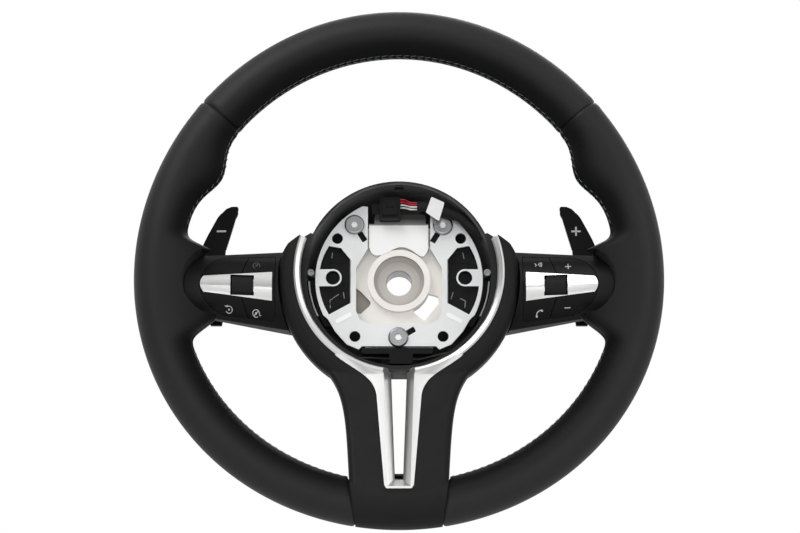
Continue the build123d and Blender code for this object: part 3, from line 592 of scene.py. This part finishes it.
def realize(tree, start, end, place):
    real = addNode(tree, "GeometryNodeRealizeInstances")
    coat = addNode(tree, "GeometryNodeSetMaterial")
    link(tree, place.outputs["Instances"], real.inputs["Geometry"])
    link(tree, real.outputs["Geometry"], coat.inputs["Geometry"])
    link(tree, start.outputs["Material"], coat.inputs["Material"])
    link(tree, coat.outputs["Geometry"], end.inputs["Geometry"])


def runTree(holder, tree, values):
    modifier = holder.modifiers.new(tree.name, "NODES")
    modifier.node_group = tree
    for item in tree.interface.items_tree:
        if item.item_type == "SOCKET" and item.in_out == "INPUT" and item.name in values:
            modifier[item.identifier] = values[item.name]
    return plainMesh(holder)


# Sewing along the inside of the rim: one thread dash instanced along each row
stitch = dict(pitch=5.2, span=4.0, across=1.1, rise=0.35, thread=0.25, sink=0.1, offset=6.0, angleStep=0.5,
              coverGap=0.8, aboveBezel=12.0, belowBezel=-24.0, foot=-76.0)


def stitchTree():
    tree, start, end = geometryTree("stitchRow", {
        "Pitch": "NodeSocketFloat", "Span": "NodeSocketFloat", "Across": "NodeSocketFloat",
        "Rise": "NodeSocketFloat", "Thread": "NodeSocketFloat", "Material": "NodeSocketMaterial"})
    path = addNode(tree, "GeometryNodeMeshToCurve")
    spaced = addNode(tree, "GeometryNodeResampleCurve", mode="LENGTH")
    link(tree, start.outputs["Geometry"], path.inputs["Mesh"])
    link(tree, path.outputs["Curve"], spaced.inputs["Curve"])
    link(tree, start.outputs["Pitch"], spaced.inputs["Length"])
    tip = addNode(tree, "ShaderNodeCombineXYZ")
    crest = addNode(tree, "ShaderNodeCombineXYZ")
    link(tree, mathNode(tree, "MULTIPLY", start.outputs["Span"], 0.5), tip.inputs["X"])
    link(tree, mathNode(tree, "MULTIPLY", start.outputs["Across"], 0.5), tip.inputs["Y"])
    link(tree, mathNode(tree, "MULTIPLY", start.outputs["Rise"], 2.0), crest.inputs["Z"])
    back = addNode(tree, "ShaderNodeVectorMath", {1: (-1, -1, 1)}, operation="MULTIPLY")
    link(tree, tip.outputs[0], back.inputs[0])
    dash = addNode(tree, "GeometryNodeCurveQuadraticBezier", {"Resolution": 7})
    link(tree, back.outputs[0], dash.inputs["Start"])
    link(tree, crest.outputs[0], dash.inputs["Middle"])
    link(tree, tip.outputs[0], dash.inputs["End"])
    outward = addNode(tree, "GeometryNodeInputNamedAttribute", {"Name": "outward"}, data_type="FLOAT_VECTOR")
    tangent = addNode(tree, "GeometryNodeInputTangent")
    facing = addNode(tree, "FunctionNodeAxesToRotation", primary_axis="Z", secondary_axis="X")
    link(tree, outward.outputs["Attribute"], facing.inputs["Primary Axis"])
    link(tree, tangent.outputs["Tangent"], facing.inputs["Secondary Axis"])
    place = addNode(tree, "GeometryNodeInstanceOnPoints")
    link(tree, spaced.outputs["Curve"], place.inputs["Points"])
    thread = tubeOn(tree, dash.outputs["Curve"], start.outputs["Thread"], sides=7)
    link(tree, thread, place.inputs["Instance"])
    link(tree, facing.outputs["Rotation"], place.inputs["Rotation"])
    realize(tree, start, end, place)
    return tree


stitchRow = stitchTree()


def sewRow(name, first, last, side):
    turn = seam["turn"] + side * stitch["offset"]
    steps = int(abs(last - first) / stitch["angleStep"])
    points, outward = [], []
    for i in range(steps + 1):
        angle = first + (last - first) * i / steps
        here, above = rimPoint(angle, turn, -stitch["sink"]), rimPoint(angle, turn, 1.0)
        points.append(here)
        outward.extend((above - here).normalized())
    mesh = bpy.data.meshes.new(name)
    mesh.from_pydata(points, [(i, i + 1) for i in range(steps)], [])
    mesh.attributes.new("outward", "FLOAT_VECTOR", "POINT").data.foreach_set("vector", outward)
    made = runTree(addObject(name, mesh), stitchRow, {
        "Pitch": stitch["pitch"] * mm, "Span": stitch["span"] * mm, "Across": side * stitch["across"] * mm,
        "Rise": stitch["rise"] * mm, "Thread": stitch["thread"] * mm, "Material": paint["thread"]})
    made.shade_smooth()
    return newPiece(name, made, "thread", "wheel")


rows = {"Top": (rim["coverAngle"] + stitch["coverGap"], 180 - rim["coverAngle"] - stitch["coverGap"])}
for stretch, first, last in (("Upper", rim["coverAngle"] - stitch["coverGap"], stitch["aboveBezel"]),
                             ("Lower", stitch["belowBezel"], stitch["foot"])):
    rows["Right" + stretch] = (first, last)
    rows["Left" + stretch] = (180 - first, 180 - last)
for side, label in ((1, "Front"), (-1, "Rear")):
    for row, (first, last) in rows.items():
        sewRow("sewing" + row + label, first, last, side)
print("sewing rows done")


# Marks that tint a piece: each is 0 to 1 over its faces or points
hub = dict(padDepth=47.3, padLow=14.0, padFacing=-0.97, floorDepth=53.2, wellRadius=18.7,
           wellDepth=(48.3, 56.4), wellShade=0.62, pocketDepth=(40.0, 56.6), pocketSlack=0.2,
           pocket=[(-34, -4.0), (-31.5, -4.4), (-27.5, -7.6), (-21.2, -14.4), (-20.8, -16.0), (-21.6, -17.8),
                   (-27.4, -23.2), (-34, -24.2)])


def markCasting(mesh):
    # the pad is milled bright; the pocket's floor and the well round the bore are darkened with painted shade
    left, right = hub["pocket"][0][0], max(x for x, z in hub["pocket"])
    low, high = hub["pocket"][-1][1], hub["pocket"][0][1]
    front, back = hub["wellDepth"]
    milled, recessShading = [], []
    for f in mesh.polygons:
        x, z, depth = inMm(f.center)
        onPad = f.normal.y < hub["padFacing"] and depth < hub["padDepth"] and z > hub["padLow"]
        milled.append(float(onPad))
        sunk = hub["floorDepth"] < depth < hub["pocketDepth"][1] + hub["pocketSlack"]
        inPocket = sunk and left < x < right and low < z < high
        inWell = math.hypot(x, z) < hub["wellRadius"] and front < depth < back
        recessShading.append(1.0 if inPocket else hub["wellShade"] * inWell)
    mark(mesh, "machined", "FACE", milled)
    mark(mesh, "raw", "FACE", recessShading)


drive = dict(front=41.6, back=42.0, facing=-0.9)


def markDrive(mesh):
    # painted glint: the floor of each bolt's drive recess is painted bright
    mark(mesh, "machined", "FACE", [
        float(f.normal.y < drive["facing"] and drive["front"] < inMm(f.center)[2] < drive["back"])
        for f in mesh.polygons])


bead = dict(front=43.96)


def markBead(mesh):
    # painted highlight: the fronts of the plate's two pressed beads are painted bright
    mark(mesh, "machined", "FACE", [float(inMm(f.center)[2] < bead["front"]) for f in mesh.polygons])


cheek = dict(black=104.0, grey=138.0)


def markCheek(mesh):
    # painted light and shade: the bezel is painted grey at the rim end and black toward the hub
    mark(mesh, "inward", "POINT", [
        share(abs(inMm(v.co)[0]), cheek["grey"], cheek["black"]) for v in mesh.vertices])


arch = dict(inner=60.0, outer=67.3, front=36.0, back=54.0, low=12.0, high=34.0)


def markArch(mesh):
    # painted light: the bowl's wall is painted greyer along the arch over the loom
    values = []
    for v in mesh.vertices:
        x, z, depth = inMm(v.co)
        inside = arch["inner"] < math.hypot(x, z) < arch["outer"]
        grey = share(depth, arch["back"], arch["front"]) * share(z, arch["low"], arch["high"])
        values.append(grey if inside else 0.0)
    mark(mesh, "inward", "POINT", values)


marks = {"hub_casting": markCasting, "horn_bolts": markDrive, "horn_plate": markBead, "rear_cover": markArch,
         "left_switch_bezel": markCheek, "right_switch_bezel": markCheek}

# Cuts and additions: the casting's pocket, the notch in the bowl's arch and the paddles' tips
notch = dict(outline=[(-3.3, 60.0), (3.3, 60.0), (3.3, 67.6), (-3.3, 67.6)], depth=(34.0, 43.0))
blade = dict(depth=(41.0, 44.4),
             tip=[(126.0, 21.8), (122.0, 35.4), (119.6, 43.8), (117.4, 51.8), (117.5, 53.2), (118.6, 53.9),
                  (122.4, 53.8), (126.2, 52.2), (128.4, 50.0), (131.0, 24.0)])
cuts = {
    "hub_casting": [("DIFFERENCE", hub["pocket"], hub["pocketDepth"])],
    "rear_cover": [("DIFFERENCE", notch["outline"], notch["depth"])],
    "left_paddle": [("UNION", [(-x, z) for x, z in blade["tip"]], blade["depth"])],
    "right_paddle": [("UNION", blade["tip"], blade["depth"])],
}

ridge = dict(middle=-12.6, rise=1.0, tip=141.0, tipHalf=4.6, inner=77.0, innerHalf=10.2, lean=1.1,
             facing=-0.75, cuts=(-7.0, -4.5, -2.0, 0.0, 2.0, 4.5, 7.0))


def raiseRidge(bm):
    # the silver inlay rises to a soft ridge along its length
    for offset in ridge["cuts"]:
        bmesh.ops.bisect_plane(bm, geom=bm.verts[:] + bm.edges[:] + bm.faces[:],
                               plane_co=(0, 0, (ridge["middle"] + offset) * mm), plane_no=(0, 0, 1))
    bm.normal_update()
    front = {v for f in bm.faces if f.normal.y < ridge["facing"] for v in f.verts}
    for v in front:
        x, z = inMm(v.co)[:2]
        along = share(abs(x), ridge["inner"], ridge["tip"])
        half = ridge["innerHalf"] + (ridge["tipHalf"] - ridge["innerHalf"]) * along
        off = z - ridge["middle"]
        half += ridge["lean"] if off > 0 else -ridge["lean"]
        v.co.y -= ridge["rise"] * max(0.0, 1 - abs(off) / half) * mm


# CAD pieces whose shape is right: a merged copy with eased edges, in place of the node
eased = dict(merge=2e-6, flat=0.8, angle=32, segments=2)


def easedCopy(node, bevel):
    bm = bmesh.new()
    bm.from_mesh(nodes[node].data)
    bmesh.ops.remove_doubles(bm, verts=bm.verts, dist=eased["merge"])
    bmesh.ops.dissolve_limit(bm, angle_limit=math.radians(eased["flat"]), verts=bm.verts, edges=bm.edges)
    if node.endswith("switch_trim"):
        raiseRidge(bm)
    mesh = meshFrom(bm, node + "Eased")
    mesh.materials.clear()
    for i in range(2):
        mesh.materials.append(None)
    mesh.polygons.foreach_set("material_index", [0] * len(mesh.polygons))
    smoothByAngle(mesh, eased["angle"])
    holder = addObject(node + "Holder", mesh)
    shapeWith(holder, cuts.get(node, []))
    if bevel:
        ease = holder.modifiers.new("ease", "BEVEL")
        ease.width, ease.segments, ease.limit_method = bevel * mm, eased["segments"], "ANGLE"
        ease.angle_limit, ease.material, ease.use_clamp_overlap = math.radians(eased["angle"]), 1, True
        ease.miter_outer = "MITER_ARC"
    shade = holder.modifiers.new("shade", "WEIGHTED_NORMAL")
    shade.keep_sharp = True
    made = plainMesh(holder)
    mark(made, "edge", "FACE", [float(p.material_index == 1) for p in made.polygons])
    made.polygons.foreach_set("material_index", [0] * len(made.polygons))
    return made


# finish, and width of the eased edges in mm
dressed = {
    "hub_casting": ("casting", 0.7), "spline_bush": ("steel", 0.3),
    "rear_cover": ("bowlBlack", 0.5), "rear_cover_screws": ("boltSteel", 0.3),
    "spoke_cover": ("matteBlack", 0.45), "spoke_trim": ("satinSilver", 0.35),
    "horn_plate": ("plateMetal", 0.4), "horn_bolts": ("boltSteel", 0.25), "horn_bushes": ("bushPlastic", 0.2),
    "left_switch_bezel": ("bezelBlack", 0.5), "right_switch_bezel": ("bezelBlack", 0.5),
    "left_switch_board": ("board", 0.2), "right_switch_board": ("board", 0.2),
    "left_switch_trim": ("satinSilver", 0.3), "right_switch_trim": ("satinSilver", 0.3),
    "limiter_key": ("keyBlack", 0.7), "mode_key": ("keyBlack", 0.7),
    "cruise_key": ("keyBlack", 0.7), "resume_key": ("keyBlack", 0.7),
    "voice_key": ("keyBlack", 0.7), "volume_up_key": ("keyBlack", 0.7),
    "phone_key": ("keyBlack", 0.7), "volume_down_key": ("keyBlack", 0.7),
    "left_paddle": ("paddleBlack", 0.7), "right_paddle": ("paddleBlack", 0.7),
    "left_paddle_bracket": ("coverBlack", 0.4), "right_paddle_bracket": ("coverBlack", 0.4),
    "left_clip": ("steel", 0.15), "right_clip": ("steel", 0.15), "clip_screws": ("boltSteel", 0.2),
    "speed_rocker": ("rollerBlack", 0.5), "scroll_roller": ("rollerBlack", 0.4),
    "left_hub_liner": ("connectorBlack", 0.25), "right_hub_liner": ("connectorBlack", 0.25),
    "loom_bracket": ("coverBlack", 0.4), "loom_connector": ("connectorBlack", 0.35),
    "loom_tag": ("tagWhite", 0.05), "control_module": ("connectorBlack", 0.5),
    "loom": ("loomTape", 0.0), "red_wires": ("redSleeve", 0.0), "white_wires": ("whiteSleeve", 0.0),
    "left_lead": ("blackSleeve", 0.0), "right_lead": ("blackSleeve", 0.0),
}
tops = {}
for node, (material, bevel) in dressed.items():
    words = node.split("_")
    name = words[0] + "".join(w.capitalize() for w in words[1:])
    made = easedCopy(node, bevel)
    if node in marks:
        marks[node](made)
    tops[node] = newPiece(name, made, material, nodes[node]["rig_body"], [node])
print("dressed nodes", len(dressed))

# Grip ribs of the rocker and the roller, one bar instanced round each barrel
barrel = dict(spot=113.4, depth=14.522, turn=9.648, radius=7.8, half=7.0, rib=0.36, sink=0.14, pitch=9.0,
              rockerFirst=225, rockerSweep=90)


def ribTree():
    tree, start, end = geometryTree("ribRing", {
        "Radius": "NodeSocketFloat", "Count": "NodeSocketInt", "First": "NodeSocketFloat",
        "Sweep": "NodeSocketFloat", "Half": "NodeSocketFloat", "Rib": "NodeSocketFloat",
        "Material": "NodeSocketMaterial"})
    ring = addNode(tree, "GeometryNodeCurveArc", {"Connect Center": False})
    for label, socket in (("Radius", "Radius"), ("Count", "Resolution"), ("First", "Start Angle"),
                          ("Sweep", "Sweep Angle")):
        link(tree, start.outputs[label], ring.inputs[socket])
    far = addNode(tree, "ShaderNodeCombineXYZ")
    near = addNode(tree, "ShaderNodeVectorMath", {1: (-1, -1, -1)}, operation="MULTIPLY")
    link(tree, start.outputs["Half"], far.inputs["Z"])
    link(tree, far.outputs[0], near.inputs[0])
    bar = addNode(tree, "GeometryNodeCurvePrimitiveLine")
    link(tree, near.outputs[0], bar.inputs["Start"])
    link(tree, far.outputs[0], bar.inputs["End"])
    place = addNode(tree, "GeometryNodeInstanceOnPoints")
    link(tree, ring.outputs["Curve"], place.inputs["Points"])
    link(tree, tubeOn(tree, bar.outputs["Curve"], start.outputs["Rib"], sides=8), place.inputs["Instance"])
    realize(tree, start, end, place)
    return tree


ribRing = ribTree()


def ribs(name, node, side, first, sweep):
    made = runTree(addObject(name, bpy.data.meshes.new(name)), ribRing, {
        "Radius": (barrel["radius"] - barrel["sink"]) * mm, "Count": int(round(sweep / barrel["pitch"])) + 1,
        "First": math.radians(first), "Sweep": math.radians(sweep), "Half": barrel["half"] * mm,
        "Rib": barrel["rib"] * mm, "Material": paint["rollerBlack"]})
    lie = Matrix.Rotation(math.radians(90), 4, "Y")
    lean = Matrix.Rotation(math.radians(-side * barrel["turn"]), 4, "Z")
    seated = Matrix.Translation((side * barrel["spot"] * mm, yAt(barrel["depth"]), spokeDrop * mm))
    made.transform(seated @ lean @ lie)
    smoothByAngle(made)
    return newPiece(name, made, "rollerBlack", nodes[node]["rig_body"])


ribs("rockerRibs", "speed_rocker", -1, barrel["rockerFirst"], barrel["rockerSweep"])
ribs("rollerRibs", "scroll_roller", 1, 0, 360 - barrel["pitch"])
print("barrel ribs done")

# Pieces that stay as the CAD gives them, hidden or turned
plain = {"rim_ring": "casting", "rim_foam": "foam", "horn_springs": "steel", "rocker_pin": "steel",
         "roller_pin": "steel", "left_paddle_pin": "steel", "right_paddle_pin": "steel",
         "left_paddle_spring": "steel", "right_paddle_spring": "steel"}
for node, material in plain.items():
    nodes[node].data.materials.clear()
    nodes[node].data.materials.append(paint[material])


# Signs on the keys and paddles: strokes laid on the surface below them
signs = dict(lift=0.04, step=0.35, arcStep=14, rayFrom=-0.2, merge=1e-6)


def arc(radius, first, last, x=0.0, z=0.0):
    count = max(4, int(abs(last - first) / signs["arcStep"]))
    angles = [math.radians(first + (last - first) * i / count) for i in range(count + 1)]
    return [(x + radius * math.cos(a), z + radius * math.sin(a)) for a in angles]


def ribbon(strokes, width):
    quads = []
    for points in strokes:
        fine = [Vector(points[0])]
        for a, b in zip(points, points[1:]):
            a, b = Vector(a), Vector(b)
            count = max(1, int((b - a).length / signs["step"]))
            fine += [a + (b - a) * (i + 1) / count for i in range(count)]
        sides = []
        for i, p in enumerate(fine):
            along = (fine[min(i + 1, len(fine) - 1)] - fine[max(i - 1, 0)]).normalized()
            out = Vector((-along.y, along.x)) * width / 2
            sides.append((p + out, p - out))
        quads += [(sides[i][0], sides[i][1], sides[i + 1][1], sides[i + 1][0]) for i in range(len(sides) - 1)]
    return quads


def laySign(name, node, spot, strokes, width, material):
    under = tops[node].data
    tree = BVHTree.FromPolygons([v.co for v in under.vertices], [p.vertices for p in under.polygons])
    bm = bmesh.new()
    for quad in ribbon(strokes, width):
        corners = []
        for p in quad:
            start = Vector(((spot[0] + p.x) * mm, signs["rayFrom"], (spot[1] + p.y) * mm))
            hit = tree.ray_cast(start, Vector((0, 1, 0)))[0]
            if hit is None:
                raise ValueError(name + " lies off " + node)
            corners.append(bm.verts.new(hit - Vector((0, signs["lift"] * mm, 0))))
        bm.faces.new(corners)
    bmesh.ops.remove_doubles(bm, verts=bm.verts, dist=signs["merge"])
    bmesh.ops.recalc_face_normals(bm, faces=bm.faces)
    if sum(f.normal.y for f in bm.faces) > 0:
        bmesh.ops.reverse_faces(bm, faces=bm.faces)
    slot = looks[dressed[node][0]]["slot"]
    return newPiece(name, meshFrom(bm, name), material, nodes[node]["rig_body"], slot=slot)


def minus(half):
    return [[(-half, 0), (half, 0)]]


def plus(half):
    return minus(half) + [[(0, -half), (0, half)]]


turnBack = [arc(2.3, 130, -150), [(-3.0, 2.6), (-1.5, 1.8), (-1.2, 3.1)], arc(0.35, 0, 360)]
gauge = [arc(2.4, -30, 250), arc(0.5, 0, 360), [(0.3, 0.3), (1.4, 1.2)]]
gaugeOff = [arc(2.4, -20, 300), arc(0.5, 0, 360), [(-1.6, -1.6), (1.7, 1.7)], [(2.2, -1.4), (3.6, -1.2)]]
handset = [arc(3.6, 78, 196, 1.4, -1.7), [(1.2, 1.3), (2.4, 1.2)], [(-1.7, -1.5), (-1.4, -2.7)]]
speech = [[(-2.4, 1.2), (-1.4, -0.6), (-2.2, -1.4)], arc(1.0, -50, 50, -0.6, 0), arc(2.1, -45, 45, -0.6, 0),
          arc(3.1, -40, 40, -0.6, 0)]
# painted highlights along the edges of the moulded ribs in the plate's windows
leftRibHighlights = [[(-48.5, 21.6), (-49.2, 17.2)], [(-40.5, -8.4), (-39.9, -13.0)],
             [(-50.0, -20.4), (-50.4, -14.4), (-44.0, -9.8)]]
rightRibHighlights = [[(46.5, 21.6), (47.5, 16.8)], [(37.9, -13.4), (39.5, -8.4)],
              [(44.4, -12.8), (48.4, -14.8), (48.0, -20.0)]]
# carrier, middle, strokes, stroke width and finish of each
laid = {
    "resumeSign": ("resume_key", (-121.8, -28.8), turnBack, 0.5, "iconWhite"),
    "cruiseSign": ("cruise_key", (-102.6, -30.6), gaugeOff, 0.5, "iconWhite"),
    "limiterSign": ("limiter_key", (-102.6, 4.0), gauge, 0.5, "iconGrey"),
    "voiceSign": ("voice_key", (100.2, 4.9), speech, 0.5, "iconWhite"),
    "upSign": ("volume_up_key", (121.4, 2.4), plus(2.07), 0.6, "iconWhite"),
    "phoneSign": ("phone_key", (100.9, -30.4), handset, 0.7, "iconWhite"),
    "downSign": ("volume_down_key", (120.7, -27.6), minus(2.07), 0.6, "iconWhite"),
    "leftPaddleSign": ("left_paddle", (-129.6, 35.4), minus(3.4), 1.4, "iconWhite"),
    "rightPaddleSign": ("right_paddle", (129.2, 35.4), plus(3.4), 1.2, "iconWhite"),
    "leftLinerHighlights": ("left_hub_liner", (0, 0), leftRibHighlights, 0.6, "ribHighlight"),
    "rightLinerHighlights": ("right_hub_liner", (0, 0), rightRibHighlights, 0.6, "ribHighlight"),
}
for name, row in laid.items():
    laySign(name, *row)
print("signs laid")


# Camera, light and floor
def turnTo(thing, target):
    thing.rotation_euler = (target - thing.location).to_track_quat("-Z", "Y").to_euler()


view = dict(distance=2.2, below=12.5, pixel=0.7145, imageWidth=800, sensor=36.0, aim=(0.7, 0.0), clip=50.0)
camera = addObject("camera", bpy.data.cameras.new("camera"))
scene.camera = camera
below = math.radians(view["below"])
camera.location = (0, yAt(0) - view["distance"] * math.cos(below), -view["distance"] * math.sin(below))
turnTo(camera, Vector((view["aim"][0] * mm, yAt(0), view["aim"][1] * mm)))
camera.data.sensor_width = view["sensor"]
camera.data.lens = view["sensor"] * view["distance"] / (view["imageWidth"] * view["pixel"] * mm)
camera.data.clip_end = view["clip"]

lamps = {
    "keyLamp": dict(spot=(-0.9, -1.5, 1.5), size=1.3, power=20.0),
    "fillLamp": dict(spot=(1.5, -1.5, 0.6), size=1.2, power=8.0),
    "frontLamp": dict(spot=(0.0, -2.2, -0.25), size=1.2, power=8.0),
    "backLamp": dict(spot=(0.3, 1.6, 1.2), size=1.2, power=12.0),
}
for name, lamp in lamps.items():
    data = bpy.data.lights.new(name, "AREA")
    data.energy, data.size = lamp["power"], lamp["size"]
    light = addObject(name, data)
    light.location = lamp["spot"]
    turnTo(light, Vector((0, yAt(0), 0)))


def viewRays(tree):
    # rays that see the white surround directly, and rays that see it in gloss
    path = addNode(tree, "ShaderNodeLightPath")
    direct = mathNode(tree, "MAXIMUM", path.outputs["Is Camera Ray"], path.outputs["Is Transmission Ray"])
    return direct, path.outputs["Is Glossy Ray"]


def mixShaders(tree, factor, first, second):
    mix = addNode(tree, "ShaderNodeMixShader")
    for socket, source in zip(mix.inputs, (factor, first.outputs[0], second.outputs[0])):
        link(tree, source, socket)
    return mix


# In gloss the room is white behind and above, and dimmer on the driver's side
room = dict(ambient=0.4, front=0.28, above=0.95)
world = bpy.data.worlds.new("studio")
scene.world = world
world.use_nodes = True
sky = world.node_tree
ambient = sky.nodes["Background"]
ambient.inputs["Color"].default_value = (1, 1, 1, 1)
ambient.inputs["Strength"].default_value = room["ambient"]
backdrop = addNode(sky, "ShaderNodeBackground", {"Color": (1, 1, 1, 1), "Strength": 1.0})
gloss = addNode(sky, "ShaderNodeBackground", {"Color": (1, 1, 1, 1)})
way = addNode(sky, "ShaderNodeTexCoord")
axes = addNode(sky, "ShaderNodeSeparateXYZ")
behind = addNode(sky, "ShaderNodeMapRange", {"From Min": -0.35, "From Max": 0.25, "To Min": room["front"]},
                 interpolation_type="SMOOTHSTEP")
overhead = addNode(sky, "ShaderNodeMapRange", {"From Min": 0.2, "From Max": 0.8, "To Max": room["above"]},
                   interpolation_type="SMOOTHSTEP")
link(sky, way.outputs["Generated"], axes.inputs[0])
link(sky, axes.outputs["Y"], behind.inputs["Value"])
link(sky, axes.outputs["Z"], overhead.inputs["Value"])
brighter = mathNode(sky, "MAXIMUM", behind.outputs["Result"], overhead.outputs["Result"])
link(sky, brighter, gloss.inputs["Strength"])
direct, glossy = viewRays(sky)
surround = mixShaders(sky, direct, mixShaders(sky, glossy, ambient, gloss), backdrop)
link(sky, surround.outputs[0], sky.nodes["World Output"].inputs["Surface"])

ground = dict(level=-0.5, half=12.0, tone=0.86, rough=0.8, glow=0.6)
half, level = ground["half"], ground["level"]
floorMesh = bpy.data.meshes.new("floor")
floorMesh.from_pydata([(x * half, y * half, level) for x, y in ((-1, -1), (1, -1), (1, 1), (-1, 1))],
                      [], [(0, 1, 2, 3)])
floor = addObject("floor", floorMesh)
floorPaint = bpy.data.materials.new("paleFloor")
floorPaint.use_nodes = True
tree = floorPaint.node_tree
pale = tree.nodes["Principled BSDF"]
pale.inputs["Base Color"].default_value = (ground["tone"], ground["tone"], ground["tone"], 1)
pale.inputs["Roughness"].default_value = ground["rough"]
glow = addNode(tree, "ShaderNodeEmission", {"Color": (1, 1, 1, 1), "Strength": 1.0})
seen = mathNode(tree, "MULTIPLY", mathNode(tree, "MAXIMUM", *viewRays(tree)), ground["glow"])
clear = addNode(tree, "ShaderNodeBsdfTransparent")
under = addNode(tree, "ShaderNodeNewGeometry")  # the floor is clear from below
oneWay = mixShaders(tree, under.outputs["Backfacing"], mixShaders(tree, seen, pale, glow), clear)
link(tree, oneWay.outputs[0], tree.nodes["Material Output"].inputs["Surface"])
floorMesh.materials.append(floorPaint)
scene.view_settings.view_transform = "Standard"
print("stage set")
